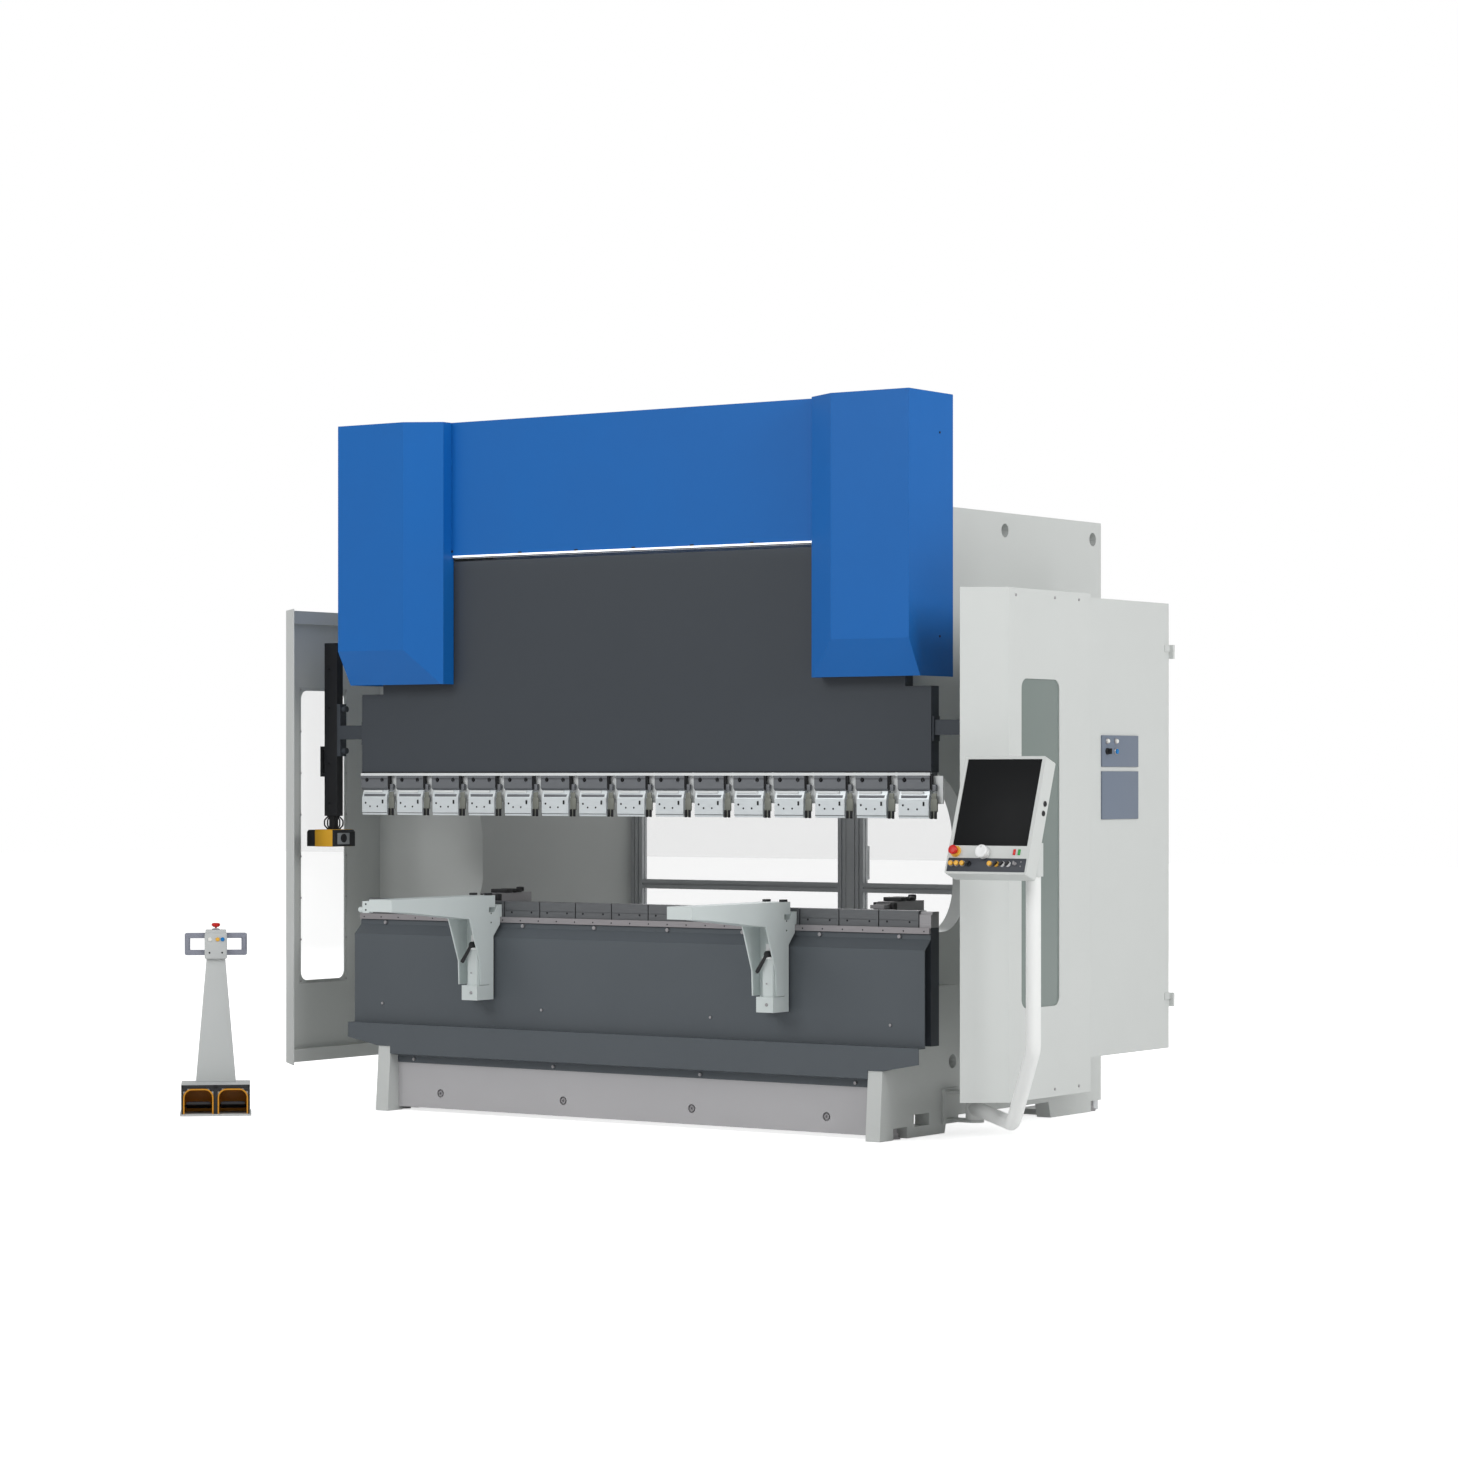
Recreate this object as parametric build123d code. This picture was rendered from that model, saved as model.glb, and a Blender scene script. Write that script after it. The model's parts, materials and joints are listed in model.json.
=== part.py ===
from build123d import *
import math
import os

# Hydraulic press brake, 3 m working length, with backgauge, sheet supports, laser guard,
# swinging control pendant and a separate pedal stand. Millimetres, +Z up, front is -Y.
# The shapes are drawn with Y = 0 on the bending plane and Z = 0 on the floor. write()
# moves them back so that the part's origin is midway between the four floor anchors.

# Driving sizes
WORK_LENGTH = 3052.0      # table and ram length along X
WORK_END = WORK_LENGTH / 2
FRAME_INSIDE = WORK_LENGTH - 496  # clear distance between the two side frames
FRAME_THICK = 70.0
FRAME_HEIGHT = 2649.0
FRAME_REAR = 1713.0       # rear edge of the side frames, behind the bending plane
RAM_THICK = 60.0
TABLE_THICK = 62.0
TABLE_TOP = 883.0
DIE_TOP = 952.0
RAM_BOTTOM = 1523.0       # ram edge at the top of its stroke
RAM_TOP = 2470.0
JAW_BOTTOM = 1333.0       # lower face of the punch clamps
MACHINE_TOP = 3092.0
ROD_RADIUS = 45.0
SLIDE_GAP = 0.3           # between faces that slide on each other
PIN_GAP = 0.05            # radial clearance of a pin or rod in its bore

# Floor anchors
ANCHOR_Y = 835.0          # middle of the anchor pattern, behind the bending plane
ANCHOR_SPACING_Y = 1210.0
ANCHOR_INSET = 80.0       # from the inner face of a side frame to its anchor holes
ANCHOR_RADIUS = 11.0
FOOT_PLATE_LENGTH = 180.0
FOOT_PLATE_THICK = 25.0

# Side frames
SEAT_Z = 395.0            # ledge that carries the table
LEG_TOP = 291.0
LEG_FRONT = -145.0
APRON_SPACE = -60.0       # front edge of the frame behind the apron
LIP_Z = 850.0             # lower lip of the throat
JAW_Z = 1530.0            # upper lip of the throat
THROAT_Y = 544.0
THROAT_LOW_RADIUS = 200.0
THROAT_HIGH_RADIUS = 320.0
UPPER_FRONT = 90.0        # front edge of the frame above the throat
NOTCH_HEIGHT = 48.0       # jack notches
FRONT_NOTCH_Y = 15.0
REAR_FOOT_END = 1620.0
REAR_NOTCH_Y = 1665.0
LIFT_HOLE_RADIUS = 30.0
LIFT_HOLE_Z = 2572.0
LIFT_HOLES_Y = (865.0, 1637.0)
JACK_RADIUS = 15.0

# Sheet thicknesses
COVER_SHEET = 4.0
GUARD_SHEET = 4.0

# Covers over the cylinders
COVER_IN = WORK_END - 539          # inner side wall, from the middle plane
COVER_OUT = WORK_END - 2
COVER_CHAMFER_X = WORK_END - 383
COVER_FRONT = -200.0
COVER_CHAMFER_Y = -107.0
COVER_REAR = 145.0
COVER_SLANT_Z = 2073.0
COVER_BOTTOM = 1920.0
COVER_SLANT_Y = -112.0
PANEL_FRONT = -48.0
PANEL_BOTTOM = 2495.0

# Hydraulic cylinders
CYLINDER_X = WORK_END - 406
CYLINDER_RADIUS = 105.0
CYLINDER_BOTTOM = 2500.0
CYLINDER_TOP = 3060.0
ROD_TOP = 2870.0

# Ram
RAM_SHOULDER_Z = 1880.0
RAM_UPPER_HALF = WORK_END - 126

# Punch clamps
CLAMP_PITCH = 206.5
CLAMP_WIDTH = 156.0
CLAMP_BLOCK_BOTTOM = 1446.0
CLAMP_FRONT = -38.0
CLAMP_REAR = 24.0
JAW_WIDTH = 146.0
TANG_SLOT = 14.0
SCREW_RADIUS = 8.0

# Die holders
DIE_PITCH = 197.0
DIE_GAP = 5.0
END_BLOCK = 56.0
DIE_SLOT = 13.0

# Rail for the sheet supports
RAIL_LOW = 858.0
RAIL_FRONT = -45.0
GROOVE_FRONT = -41.0
GROOVE_REAR = -35.0
GROOVE_DEPTH = 8.0

# Apron
APRON_SHEET = 4.0
APRON_FRONT = -81.0
APRON_TOP = 856.0
APRON_SHELF_Z = 392.0
APRON_SHELF_FRONT = -129.0
APRON_LOW = 258.0
APRON_END_LOW = 325.0

# Base beam between the feet
BASE_FRONT = -68.0
BASE_REAR = -28.0
BASE_BOTTOM = 17.0
BASE_TOP = 254.0
BASE_LIGHT_TOP = 217.0

# Side guards
GUARD_X = WORK_END + 406
GUARD_FRONT_X = WORK_END + 251
GUARD_FRONT_Y = -216.0
GUARD_CHAMFER_Y = -90.0
GUARD_REAR = 580.0
GUARD_LOW = 188.0
GUARD_TOP = 2272.0
WINDOW_Y = (10.0, 318.0)
WINDOW_Z = (562.0, 1905.0)
WINDOW_CORNER = 40.0
PANE_THICK = 5.0

# Electrical cabinet
CABINET_X = WORK_END + 374
CABINET_REAR = 1327.0
CABINET_LOW = 327.0
CABINET_TOP = 2258.0
CABINET_WALL = 4.0
DOOR_DEPTH = 20.0
DOOR_GAP = 3.0
DOOR_HINGE_X = WORK_END + 386
HINGE_PIN = 4.0
KNUCKLE_RADIUS = 8.0

# Rear fence
FENCE_POST_X = WORK_END - 241
POST_SIZE = 45.0
FENCE_TOP = 1900.0
STILE = 45.0
FENCE_RAIL_Z = (961.0, 1005.0)
PANEL_THICK = 6.0

# Laser guard carriers
LASER_IN = WORK_END + 174
LASER_OUT = WORK_END + 249
LASER_Y = (-2.0, 40.0)
LASER_Z = (1325.0, 2121.0)
LASER_ARM_Z = (1677.0, 1740.0)
HEAD_X = (WORK_END + 134, WORK_END + 303)
HEAD_Y = (-62.0, 79.0)
HEAD_Z = (1186.0, 1262.0)

# Sheet supports
SUPPORT_WIDTH = 125.0
SUPPORT_LEFT_X = -776.5
SUPPORT_RIGHT_X = 799.5
SUPPORT_TIP_Y = -795.0
SUPPORT_TOP = 980.0
SUPPORT_PLATE = 6.0
WEB_REAR = -124.0
WEB_THICK = 8.0
POST_WIDTH = 50.0

# Backgauge
GAUGE_RAIL_Z = (600.0, 640.0)
GAUGE_RAIL_Y = (150.0, 1300.0)
GAUGE_RAIL_WIDTH = 60.0
GAUGE_BEAM_Y = (560.0, 690.0)
LIFT_Y = (480.0, 559.7)
LIFT_Z = (790.0, 880.0)
LIFT_HALF = 1200.0
UPRIGHT_TOP = 925.0
FINGER_LEFT_X = -1040.0
FINGER_RIGHT_X = 1090.0
FINGER_WIDTH = 120.0
FINGER_TIP_Y = 240.0

# Pendant
PIVOT = (WORK_END - 51, 400.0)
PIVOT_RADIUS = 20.0
PIPE_RADIUS = 30.0
PIPE_LOW_Z = 110.0
PIPE_BEND = (WORK_END + 464, -156.0)
PIPE_FOOT = (WORK_END + 642, -300.0, 425.0)
PIPE_TOP = 1230.0
CONSOLE_X = WORK_END + 544
CONSOLE_WIDTH = 372.0
CONSOLE_HEIGHT = 492.0
CONSOLE_DEPTH = 78.0
CONSOLE_TILT = 19.3
CONSOLE_LOW_Y = -512.0
CONSOLE_LOW_Z = 1122.0
WHEEL_RADIUS = 26.0
BUTTON_RADIUS = 11.0
BUTTON_ROW_Z = 42.0       # up the console's face from its lower edge
CONSOLE_ESTOP = (-150.0, 92.0)
JOG_PLACE = (-20.0, 88.0)
STEM_RADIUS = 5.0
SPINDLE_RADIUS = 6.0

# Pedal stand
STAND_X = -1737.0
STAND_Y = -782.0
STAND_TURN = 42.0
STAND_WIDTH = 304.0
STAND_DEPTH = 230.0
STAND_BOX_TOP = 140.0
STAND_PLATE = 9.0
COLUMN_FRONT = 165.0
COLUMN_TOP = 690.0
STAND_HEAD_TOP = 820.0
PEDAL_WIDTH = 106.0

MIRRORED = Plane.YZ


def block(x, y, z):
    """A box from three (low, high) pairs."""
    size = (x[1] - x[0], y[1] - y[0], z[1] - z[0])
    middle = ((x[0] + x[1]) / 2, (y[0] + y[1]) / 2, (z[0] + z[1]) / 2)
    return Pos(*middle) * Box(*size)


def prism_x(outline, x0, x1):
    """An outline of (y, z) points, drawn out from x0 to x1."""
    wire = Polyline([(x0, y, z) for y, z in outline], close=True)
    return extrude(make_face(wire), amount=x1 - x0, dir=(1, 0, 0))


def prism_y(outline, y0, y1):
    """An outline of (x, z) points, drawn out from y0 to y1."""
    wire = Polyline([(x, y0, z) for x, z in outline], close=True)
    return extrude(make_face(wire), amount=y1 - y0, dir=(0, 1, 0))


def prism_z(outline, z0, z1):
    """An outline of (x, y) points, drawn out from z0 to z1."""
    wire = Polyline([(x, y, z0) for x, y in outline], close=True)
    return extrude(make_face(wire), amount=z1 - z0, dir=(0, 0, 1))


def round_bar(start, end, radius):
    """A cylinder between two points."""
    axis = Vector(*end) - Vector(*start)
    return extrude(Plane(origin=start, z_dir=axis) * Circle(radius), amount=axis.length)


def fillet_at(shape, axis, radius, *places):
    """Rounds the edges parallel to an axis that pass nearest to the given points."""
    edges = shape.edges().filter_by(axis)
    chosen = [min(edges, key=lambda e, p=place: e.distance_to(Vector(*p))) for place in places]
    return fillet(chosen, radius)


def mirrored(shape):
    return mirror(shape, MIRRORED)


def write(node, *solids):
    """Writes one node, moved so that the anchors' middle is the origin."""
    pieces = [solid for shape in solids for solid in shape.solids()]
    placed = [Pos(0, -ANCHOR_Y, 0) * piece for piece in pieces]
    shape = placed[0] if len(placed) == 1 else Compound(children=placed)
    export_step(shape, f"parts/{node}.step")


def side_frame():
    """Right side frame: one thick C-shaped plate with feet, guide pads and a side box."""
    inner = FRAME_INSIDE / 2
    outer = inner + FRAME_THICK
    outline = [
        (LEG_FRONT, 0), (LEG_FRONT + 21, LEG_TOP), (APRON_SPACE, LEG_TOP), (APRON_SPACE, SEAT_Z),
        (TABLE_THICK / 2, SEAT_Z), (TABLE_THICK / 2, LIP_Z), (THROAT_Y, LIP_Z), (THROAT_Y, JAW_Z),
        (UPPER_FRONT, JAW_Z), (UPPER_FRONT, FRAME_HEIGHT), (FRAME_REAR, FRAME_HEIGHT),
        (FRAME_REAR, NOTCH_HEIGHT), (REAR_FOOT_END, NOTCH_HEIGHT), (REAR_FOOT_END, 0), (1260, 0),
        (1240, 70), (385, 70), (365, 0), (70, 0), (70, NOTCH_HEIGHT), (-40, NOTCH_HEIGHT), (-40, 0),
    ]
    plate = prism_x(outline, inner, outer)
    plate = fillet_at(plate, Axis.X, THROAT_LOW_RADIUS, (inner, THROAT_Y, LIP_Z))
    plate = fillet_at(plate, Axis.X, THROAT_HIGH_RADIUS, (inner, THROAT_Y, JAW_Z))
    for y in LIFT_HOLES_Y:
        plate -= round_bar((inner - 1, y, LIFT_HOLE_Z), (outer + 1, y, LIFT_HOLE_Z), LIFT_HOLE_RADIUS)
    plate -= block((inner - 1, outer + 1), (121, 241), (45, 95))
    plate -= round_bar((inner - 1, 430, 300), (outer + 1, 430, 300), 30)
    for y in (FRONT_NOTCH_Y, REAR_NOTCH_Y):
        plate -= jack_thread(y)
    for z in (1560, 2280):
        plate += block((inner, outer), (RAM_THICK / 2 + SLIDE_GAP, UPPER_FRONT), (z, z + 180))
    side_box = block((outer, outer + 92), (90, 330), (400, 634))
    side_box = fillet_at(side_box, Axis.X, 12, (outer, 330, 634))
    side_box -= block((outer + 8, outer + 84), (80, 318), (412, 622))
    return plate + side_box


def jack_thread(y):
    """Threaded hole of one levelling jack, up from its notch."""
    middle = FRAME_INSIDE / 2 + FRAME_THICK / 2
    return round_bar((middle, y, NOTCH_HEIGHT - 1), (middle, y, NOTCH_HEIGHT + 62), JACK_RADIUS)


def levelling_jack(y):
    """Round pad, hexagon head and shank of one jack screw."""
    middle = FRAME_INSIDE / 2 + FRAME_THICK / 2
    pad = round_bar((middle, y, 0), (middle, y, 10), 30)
    head = Pos(middle, y, 10) * extrude(RegularPolygon(24, 6), amount=18)
    shank = round_bar((middle, y, 28), (middle, y, NOTCH_HEIGHT + 60), JACK_RADIUS)
    return pad + head + shank


def foot_plate(y):
    """Anchor plate welded to the inner face of the right frame."""
    inner = FRAME_INSIDE / 2
    hole_x = inner - ANCHOR_INSET
    half = FOOT_PLATE_LENGTH / 2
    plate = block((inner - 2 * ANCHOR_INSET, inner), (y - half, y + half), (0, FOOT_PLATE_THICK))
    return plate - round_bar((hole_x, y, -1), (hole_x, y, FOOT_PLATE_THICK + 1), ANCHOR_RADIUS)


def tube_x(y, z, wall):
    """Rectangular tube between the two frames."""
    half = FRAME_INSIDE / 2
    tube = block((-half, half), y, z)
    return tube - block((-half - 1, half + 1), (y[0] + wall, y[1] - wall), (z[0] + wall, z[1] - wall))


def cross_ties():
    """Rear upper tie, rear lower tie and the two tubes that carry the power pack."""
    places = [((1560, 1680), (2460, 2580)), ((1400, 1520), (120, 240)),
              ((480, 560), (2120, 2200)), ((1010, 1090), (2120, 2200))]
    return [tube_x(y, z, 8) for y, z in places]


def upper_beam():
    """Box beam behind the ram's top with brackets that hold the front panel."""
    beam = tube_x((320, 420), (2300, 2640), 12)
    for x in (-840, -280, 280, 840):
        outline = [(PANEL_FRONT + COVER_SHEET, 2700), (PANEL_FRONT + COVER_SHEET, 3060),
                   (0, 3060), (420, 2660), (420, 2640), (320, 2640), (100, 2660)]
        beam += prism_x(outline, x - 5, x + 5)
    return beam


def power_pack():
    """Oil tank on its tubes, with the motor, pump and valve block on top."""
    tank = block((-550, 550), (460, 1110), (2200, 2500))
    feet = block((-330, 30), (560, 700), (2500, 2530))
    motor = round_bar((-340, 630, 2587), (40, 630, 2587), 75) + feet
    pump = round_bar((40, 630, 2587), (180, 630, 2587), 50)
    valves = block((260, 420), (600, 760), (2500, 2620))
    return [tank, motor, pump, valves]


def hydraulic_cylinder():
    """Right cylinder: flange on the frame, round body and a blind bore for the rod."""
    flange = block((CYLINDER_X - 110, FRAME_INSIDE / 2), (-100, 280), (CYLINDER_BOTTOM, CYLINDER_BOTTOM + 60))
    body = round_bar((CYLINDER_X, 0, CYLINDER_BOTTOM), (CYLINDER_X, 0, CYLINDER_TOP), CYLINDER_RADIUS)
    bore_top = ROD_TOP + 40
    bore = round_bar((CYLINDER_X, 0, CYLINDER_BOTTOM - 1), (CYLINDER_X, 0, bore_top), ROD_RADIUS + PIN_GAP)
    return flange + body - bore


def piston_rod():
    """Right piston rod, standing on the ram's top edge."""
    return round_bar((CYLINDER_X, 0, RAM_TOP), (CYLINDER_X, 0, ROD_TOP), ROD_RADIUS)


def table():
    """Vertical table plate, with a narrower tongue between the frames."""
    half = WORK_LENGTH / 2
    tongue = FRAME_INSIDE / 2 - 8
    outline = [(-tongue, 262), (tongue, 262), (tongue, SEAT_Z), (half, SEAT_Z), (half, TABLE_TOP),
               (-half, TABLE_TOP), (-half, SEAT_Z), (-tongue, SEAT_Z)]
    return prism_y(outline, -TABLE_THICK / 2, TABLE_THICK / 2)


def table_rail():
    """Bar along the table's top edge with an upward groove for the supports' hooks."""
    half = WORK_LENGTH / 2
    bar = block((-half, half), (RAIL_FRONT, -TABLE_THICK / 2), (RAIL_LOW, TABLE_TOP))
    depth = (TABLE_TOP - GROOVE_DEPTH, TABLE_TOP + 1)
    return bar - block((-half - 1, half + 1), (GROOVE_FRONT, GROOVE_REAR), depth)


def die_holders():
    """Row of die holders along the table, each with a slot for the die's tang."""
    right = WORK_LENGTH / 2 - END_BLOCK
    count = int((WORK_LENGTH - END_BLOCK - 30) / DIE_PITCH)
    front = -TABLE_THICK / 2
    holders = []
    for i in range(count):
        x1 = right - i * DIE_PITCH - DIE_GAP
        x0 = x1 - DIE_PITCH + DIE_GAP
        holder = block((x0, x1), (front, -front), (TABLE_TOP, DIE_TOP))
        holder -= block((x0 - 1, x1 + 1), (-DIE_SLOT / 2, DIE_SLOT / 2), (DIE_TOP - 18, DIE_TOP + 1))
        holder -= block((x0 - 1, x1 + 1), (front - 1, front + 3), (910, 914))
        holders.append(holder)
    return holders


def end_blocks():
    """Stop blocks at both ends of the row of die holders."""
    half = WORK_LENGTH / 2
    right = half - END_BLOCK
    count = int((WORK_LENGTH - END_BLOCK - 30) / DIE_PITCH)
    left_end = right - count * DIE_PITCH - DIE_GAP
    front = -TABLE_THICK / 2
    top = TABLE_TOP + 54
    blocks = [block((right, half), (front, -front), (TABLE_TOP, top)),
              block((-half, left_end), (front, -front), (TABLE_TOP, top))]
    blocks.append(block((right - 2, half), (-20, -front), (top, top + 12)))
    return blocks


def apron():
    """Folded front sheet: top strip, slope, main panel, forward tray and lower return."""
    half = WORK_LENGTH / 2
    back = -TABLE_THICK / 2
    t = APRON_SHEET
    outline = [
        (back - t, APRON_TOP), (back - t, 835), (APRON_FRONT, 792), (APRON_FRONT, APRON_SHELF_Z),
        (APRON_SHELF_FRONT, APRON_SHELF_Z), (APRON_SHELF_FRONT, APRON_LOW), (BASE_FRONT - t, 248),
        (BASE_FRONT - t, BASE_LIGHT_TOP), (BASE_FRONT, BASE_LIGHT_TOP), (BASE_FRONT, 252),
        (APRON_SHELF_FRONT + t, APRON_LOW + t), (APRON_SHELF_FRONT + t, APRON_SHELF_Z - t),
        (APRON_FRONT + t, APRON_SHELF_Z - t), (APRON_FRONT + t, 790), (back, 833), (back, APRON_TOP),
    ]
    sheet = prism_x(outline, -half, half)
    inner = FRAME_INSIDE / 2
    outer = inner + FRAME_THICK
    corner = [(inner, 200), (inner, LEG_TOP + 1), (outer + 4, LEG_TOP + 1), (half + 1, APRON_END_LOW),
              (half + 1, 200)]
    for sign in (-1, 1):
        cut = [(sign * x, z) for x, z in corner]
        sheet -= prism_y(cut, APRON_SHELF_FRONT - 1, back + 1)
    return sheet


def base_beam():
    """Plate between the front feet, with four counterbored bolt holes."""
    half = FRAME_INSIDE / 2
    beam = block((-half, half), (BASE_FRONT, BASE_REAR), (BASE_BOTTOM, BASE_TOP))
    for x in base_bolt_places():
        beam -= round_bar((x, BASE_FRONT - 1, 85), (x, BASE_FRONT + 14, 85), 19)
    return beam


def base_bolt_places():
    return [x * FRAME_INSIDE / 2 for x in (-0.81, -0.27, 0.27, 0.81)]


def panel_fasteners():
    """Bolts of the base beam, knobs and studs of the apron and hooks of its lower edge."""
    pieces = []
    for x in base_bolt_places():
        bolt = round_bar((x, BASE_FRONT + 14, 85), (x, BASE_FRONT + 2, 85), 12)
        pieces.append(bolt - round_bar((x, BASE_FRONT + 1, 85), (x, BASE_FRONT + 8, 85), 6))
    strip = -TABLE_THICK / 2 - APRON_SHEET
    for i in range(8):
        x = (i - 3.5) * WORK_LENGTH / 7.755
        pieces.append(round_bar((x, strip, 845), (x, strip - 9, 845), 8))
    for i in range(4):
        x = (i - 1.5) * WORK_LENGTH / 3.365
        pieces.append(round_bar((x, APRON_FRONT, 480), (x, APRON_FRONT - 5, 480), 6))
        x = (i - 1.5) * FRAME_INSIDE / 3.24
        lower = BASE_FRONT - APRON_SHEET
        pieces.append(round_bar((x, lower, 233), (x, lower - 7, 233), 7))
    return pieces


def beam_panel():
    """Front panel of the upper beam, folded back along its top and bottom edges."""
    t = COVER_SHEET
    rear = PANEL_FRONT + t
    outline = [(PANEL_FRONT, PANEL_BOTTOM), (PANEL_FRONT, MACHINE_TOP), (COVER_REAR, MACHINE_TOP),
               (COVER_REAR, MACHINE_TOP - t), (rear, MACHINE_TOP - t), (rear, PANEL_BOTTOM)]
    return prism_x(outline, -COVER_IN, COVER_IN)


def led_strip():
    """Light bar under the front panel."""
    half = COVER_IN - 10
    depth = (PANEL_FRONT - 4, -RAM_THICK / 2 - 4)
    return block((-half, half), depth, (PANEL_BOTTOM - 12, PANEL_BOTTOM))


def cover_plan(inset):
    """Plan outline of the right cover, moved in by the sheet thickness where asked."""
    slope = (COVER_CHAMFER_Y - COVER_FRONT) / (COVER_CHAMFER_X - COVER_IN)
    run = math.hypot(1, slope) * inset
    chamfer_x = COVER_CHAMFER_X + (run - inset) / slope if inset else COVER_CHAMFER_X
    front = COVER_FRONT + inset
    inner_y = COVER_CHAMFER_Y + run - slope * inset
    return [(COVER_IN + inset, COVER_REAR + inset), (COVER_IN + inset, inner_y), (chamfer_x, front),
            (COVER_OUT - inset, front), (COVER_OUT - inset, COVER_REAR + inset)]


def corner_cover():
    """Right cover: bent sheet, open at the rear and underneath, with a slanted chin."""
    t = COVER_SHEET
    slant = (COVER_SLANT_Y - COVER_FRONT) / (COVER_SLANT_Z - COVER_BOTTOM)

    def body(inset, top):
        shape = prism_z(cover_plan(inset), COVER_BOTTOM, top)
        low_y = COVER_FRONT + slant * (COVER_SLANT_Z - COVER_BOTTOM)
        lift = inset * math.hypot(1, 1 / slant)
        low_z = COVER_BOTTOM + lift - 200 / slant
        cut = [(COVER_FRONT - 10, COVER_SLANT_Z + lift + 10 / slant), (low_y + 200, low_z),
               (COVER_FRONT - 10, low_z)]
        return shape - prism_x(cut, COVER_IN - 10, COVER_OUT + 10)

    shell = body(0, MACHINE_TOP) - body(t, MACHINE_TOP - t)
    height = (COVER_BOTTOM - 10, MACHINE_TOP + 10)
    shell -= block((COVER_IN - 10, COVER_OUT + 10), (COVER_REAR, COVER_REAR + 20), height)
    ram_side = -RAM_THICK / 2 - 4
    below_top = (COVER_BOTTOM - 10, MACHINE_TOP - t)
    shell -= block((COVER_IN - 10, COVER_IN + t + 1), (ram_side, COVER_REAR + 20), below_top)
    outer = FRAME_INSIDE / 2 + FRAME_THICK
    for z in (2150, 2560):
        shell += block((outer, COVER_OUT - t), (UPPER_FRONT + 10, COVER_REAR), (z, z + 8))
    return shell


def ram():
    """Ram plate: full length below, narrower where it runs up behind the covers."""
    half = WORK_LENGTH / 2
    upper = RAM_UPPER_HALF
    outline = [(-half, RAM_BOTTOM), (half, RAM_BOTTOM), (half, RAM_SHOULDER_Z), (upper, RAM_SHOULDER_Z),
               (upper, RAM_TOP), (-upper, RAM_TOP), (-upper, RAM_SHOULDER_Z), (-half, RAM_SHOULDER_Z)]
    return prism_y(outline, -RAM_THICK / 2, RAM_THICK / 2)


def clamp_places():
    """Middles of the punch clamps, evenly spaced about the middle of the ram."""
    count = int((WORK_LENGTH - CLAMP_WIDTH) / CLAMP_PITCH) + 1
    return [(i - (count - 1) / 2) * CLAMP_PITCH for i in range(count)]


def clamp_block(x):
    """Adapter block of one punch clamp, with two counterbored screw holes."""
    half = CLAMP_WIDTH / 2
    height = (CLAMP_BLOCK_BOTTOM, RAM_BOTTOM)
    shape = block((x - half, x + half), (CLAMP_FRONT, CLAMP_REAR), height)
    shape = chamfer(shape.edges().filter_by(Axis.X).sort_by(Axis.Y)[:2].sort_by(Axis.Z)[0], 10)
    for offset in (-45, 45):
        place = (x + offset, CLAMP_FRONT - 1, 1492)
        shape -= round_bar(place, (place[0], CLAMP_FRONT + 9, place[2]), SCREW_RADIUS + 2)
    return shape


def clamp_jaw(x):
    """Lower part of one punch clamp: a jaw with a slot for the punch's tang."""
    half = TANG_SLOT / 2
    outline = [(CLAMP_FRONT + 4, JAW_BOTTOM), (CLAMP_FRONT, JAW_BOTTOM + 14), (CLAMP_FRONT, 1412),
               (CLAMP_FRONT + 12, CLAMP_BLOCK_BOTTOM), (CLAMP_REAR, CLAMP_BLOCK_BOTTOM),
               (CLAMP_REAR, JAW_BOTTOM + 30), (half, JAW_BOTTOM + 30), (half, 1396), (-half, 1396),
               (-half, JAW_BOTTOM)]
    return prism_x(outline, x - JAW_WIDTH / 2, x + JAW_WIDTH / 2)


def ram_bracket():
    """Right bracket from the ram's edge to the laser column, with two clamp knobs."""
    edge = WORK_LENGTH / 2
    face = LASER_IN - SLIDE_GAP
    plate = block((edge, edge + 8), (-24, 24), (1652, 1755))
    arm = block((edge + 8, face - 20), (-16, 20), LASER_ARM_Z)
    shoe = block((face - 20, face), (-2, 40), (1600, 1840))
    pieces = [plate + arm + shoe]
    for z in (1625, 1816):
        pieces.append(round_bar((face - 42, 19, z), (face - 20, 19, z), 14))
    return pieces


def laser_column():
    """Right laser carrier: column with a handle, lens head below and four short leads."""
    y_mid = (LASER_Y[0] + LASER_Y[1]) / 2
    column = block((LASER_IN, LASER_OUT), LASER_Y, LASER_Z)
    grip = block((LASER_OUT, LASER_OUT + 35), (y_mid - 10, y_mid + 10), (1506, 1646))
    grip -= block((LASER_OUT, LASER_OUT + 22), (y_mid - 11, y_mid + 11), (1522, 1630))
    neck = block((LASER_IN + 22, LASER_IN + 53), (y_mid - 14, y_mid + 14), (HEAD_Z[1], LASER_Z[0]))
    head = block(HEAD_X, HEAD_Y, HEAD_Z)
    head = chamfer(head.edges().filter_by(Axis.Y).group_by(Axis.Z)[-1], 10)
    leads = []
    for x, bulge in ((6, -24), (14, -13), (61, 13), (69, 24)):
        leads.append(lead(LASER_IN + x, y_mid, bulge))
    return [column + neck + head, grip, *leads]


def lead(x, y, bulge):
    """Short lead that bows out between the column's foot and the head."""
    low, high = HEAD_Z[1], LASER_Z[0]
    route = [(x, y, high), (x + bulge, y, high - 20), (x + bulge, y, low + 20), (x, y, low)]
    path = FilletPolyline(*route, radius=12)
    return sweep(Plane(origin=route[0], z_dir=path % 0) * Circle(3.5), path=path)


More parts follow.
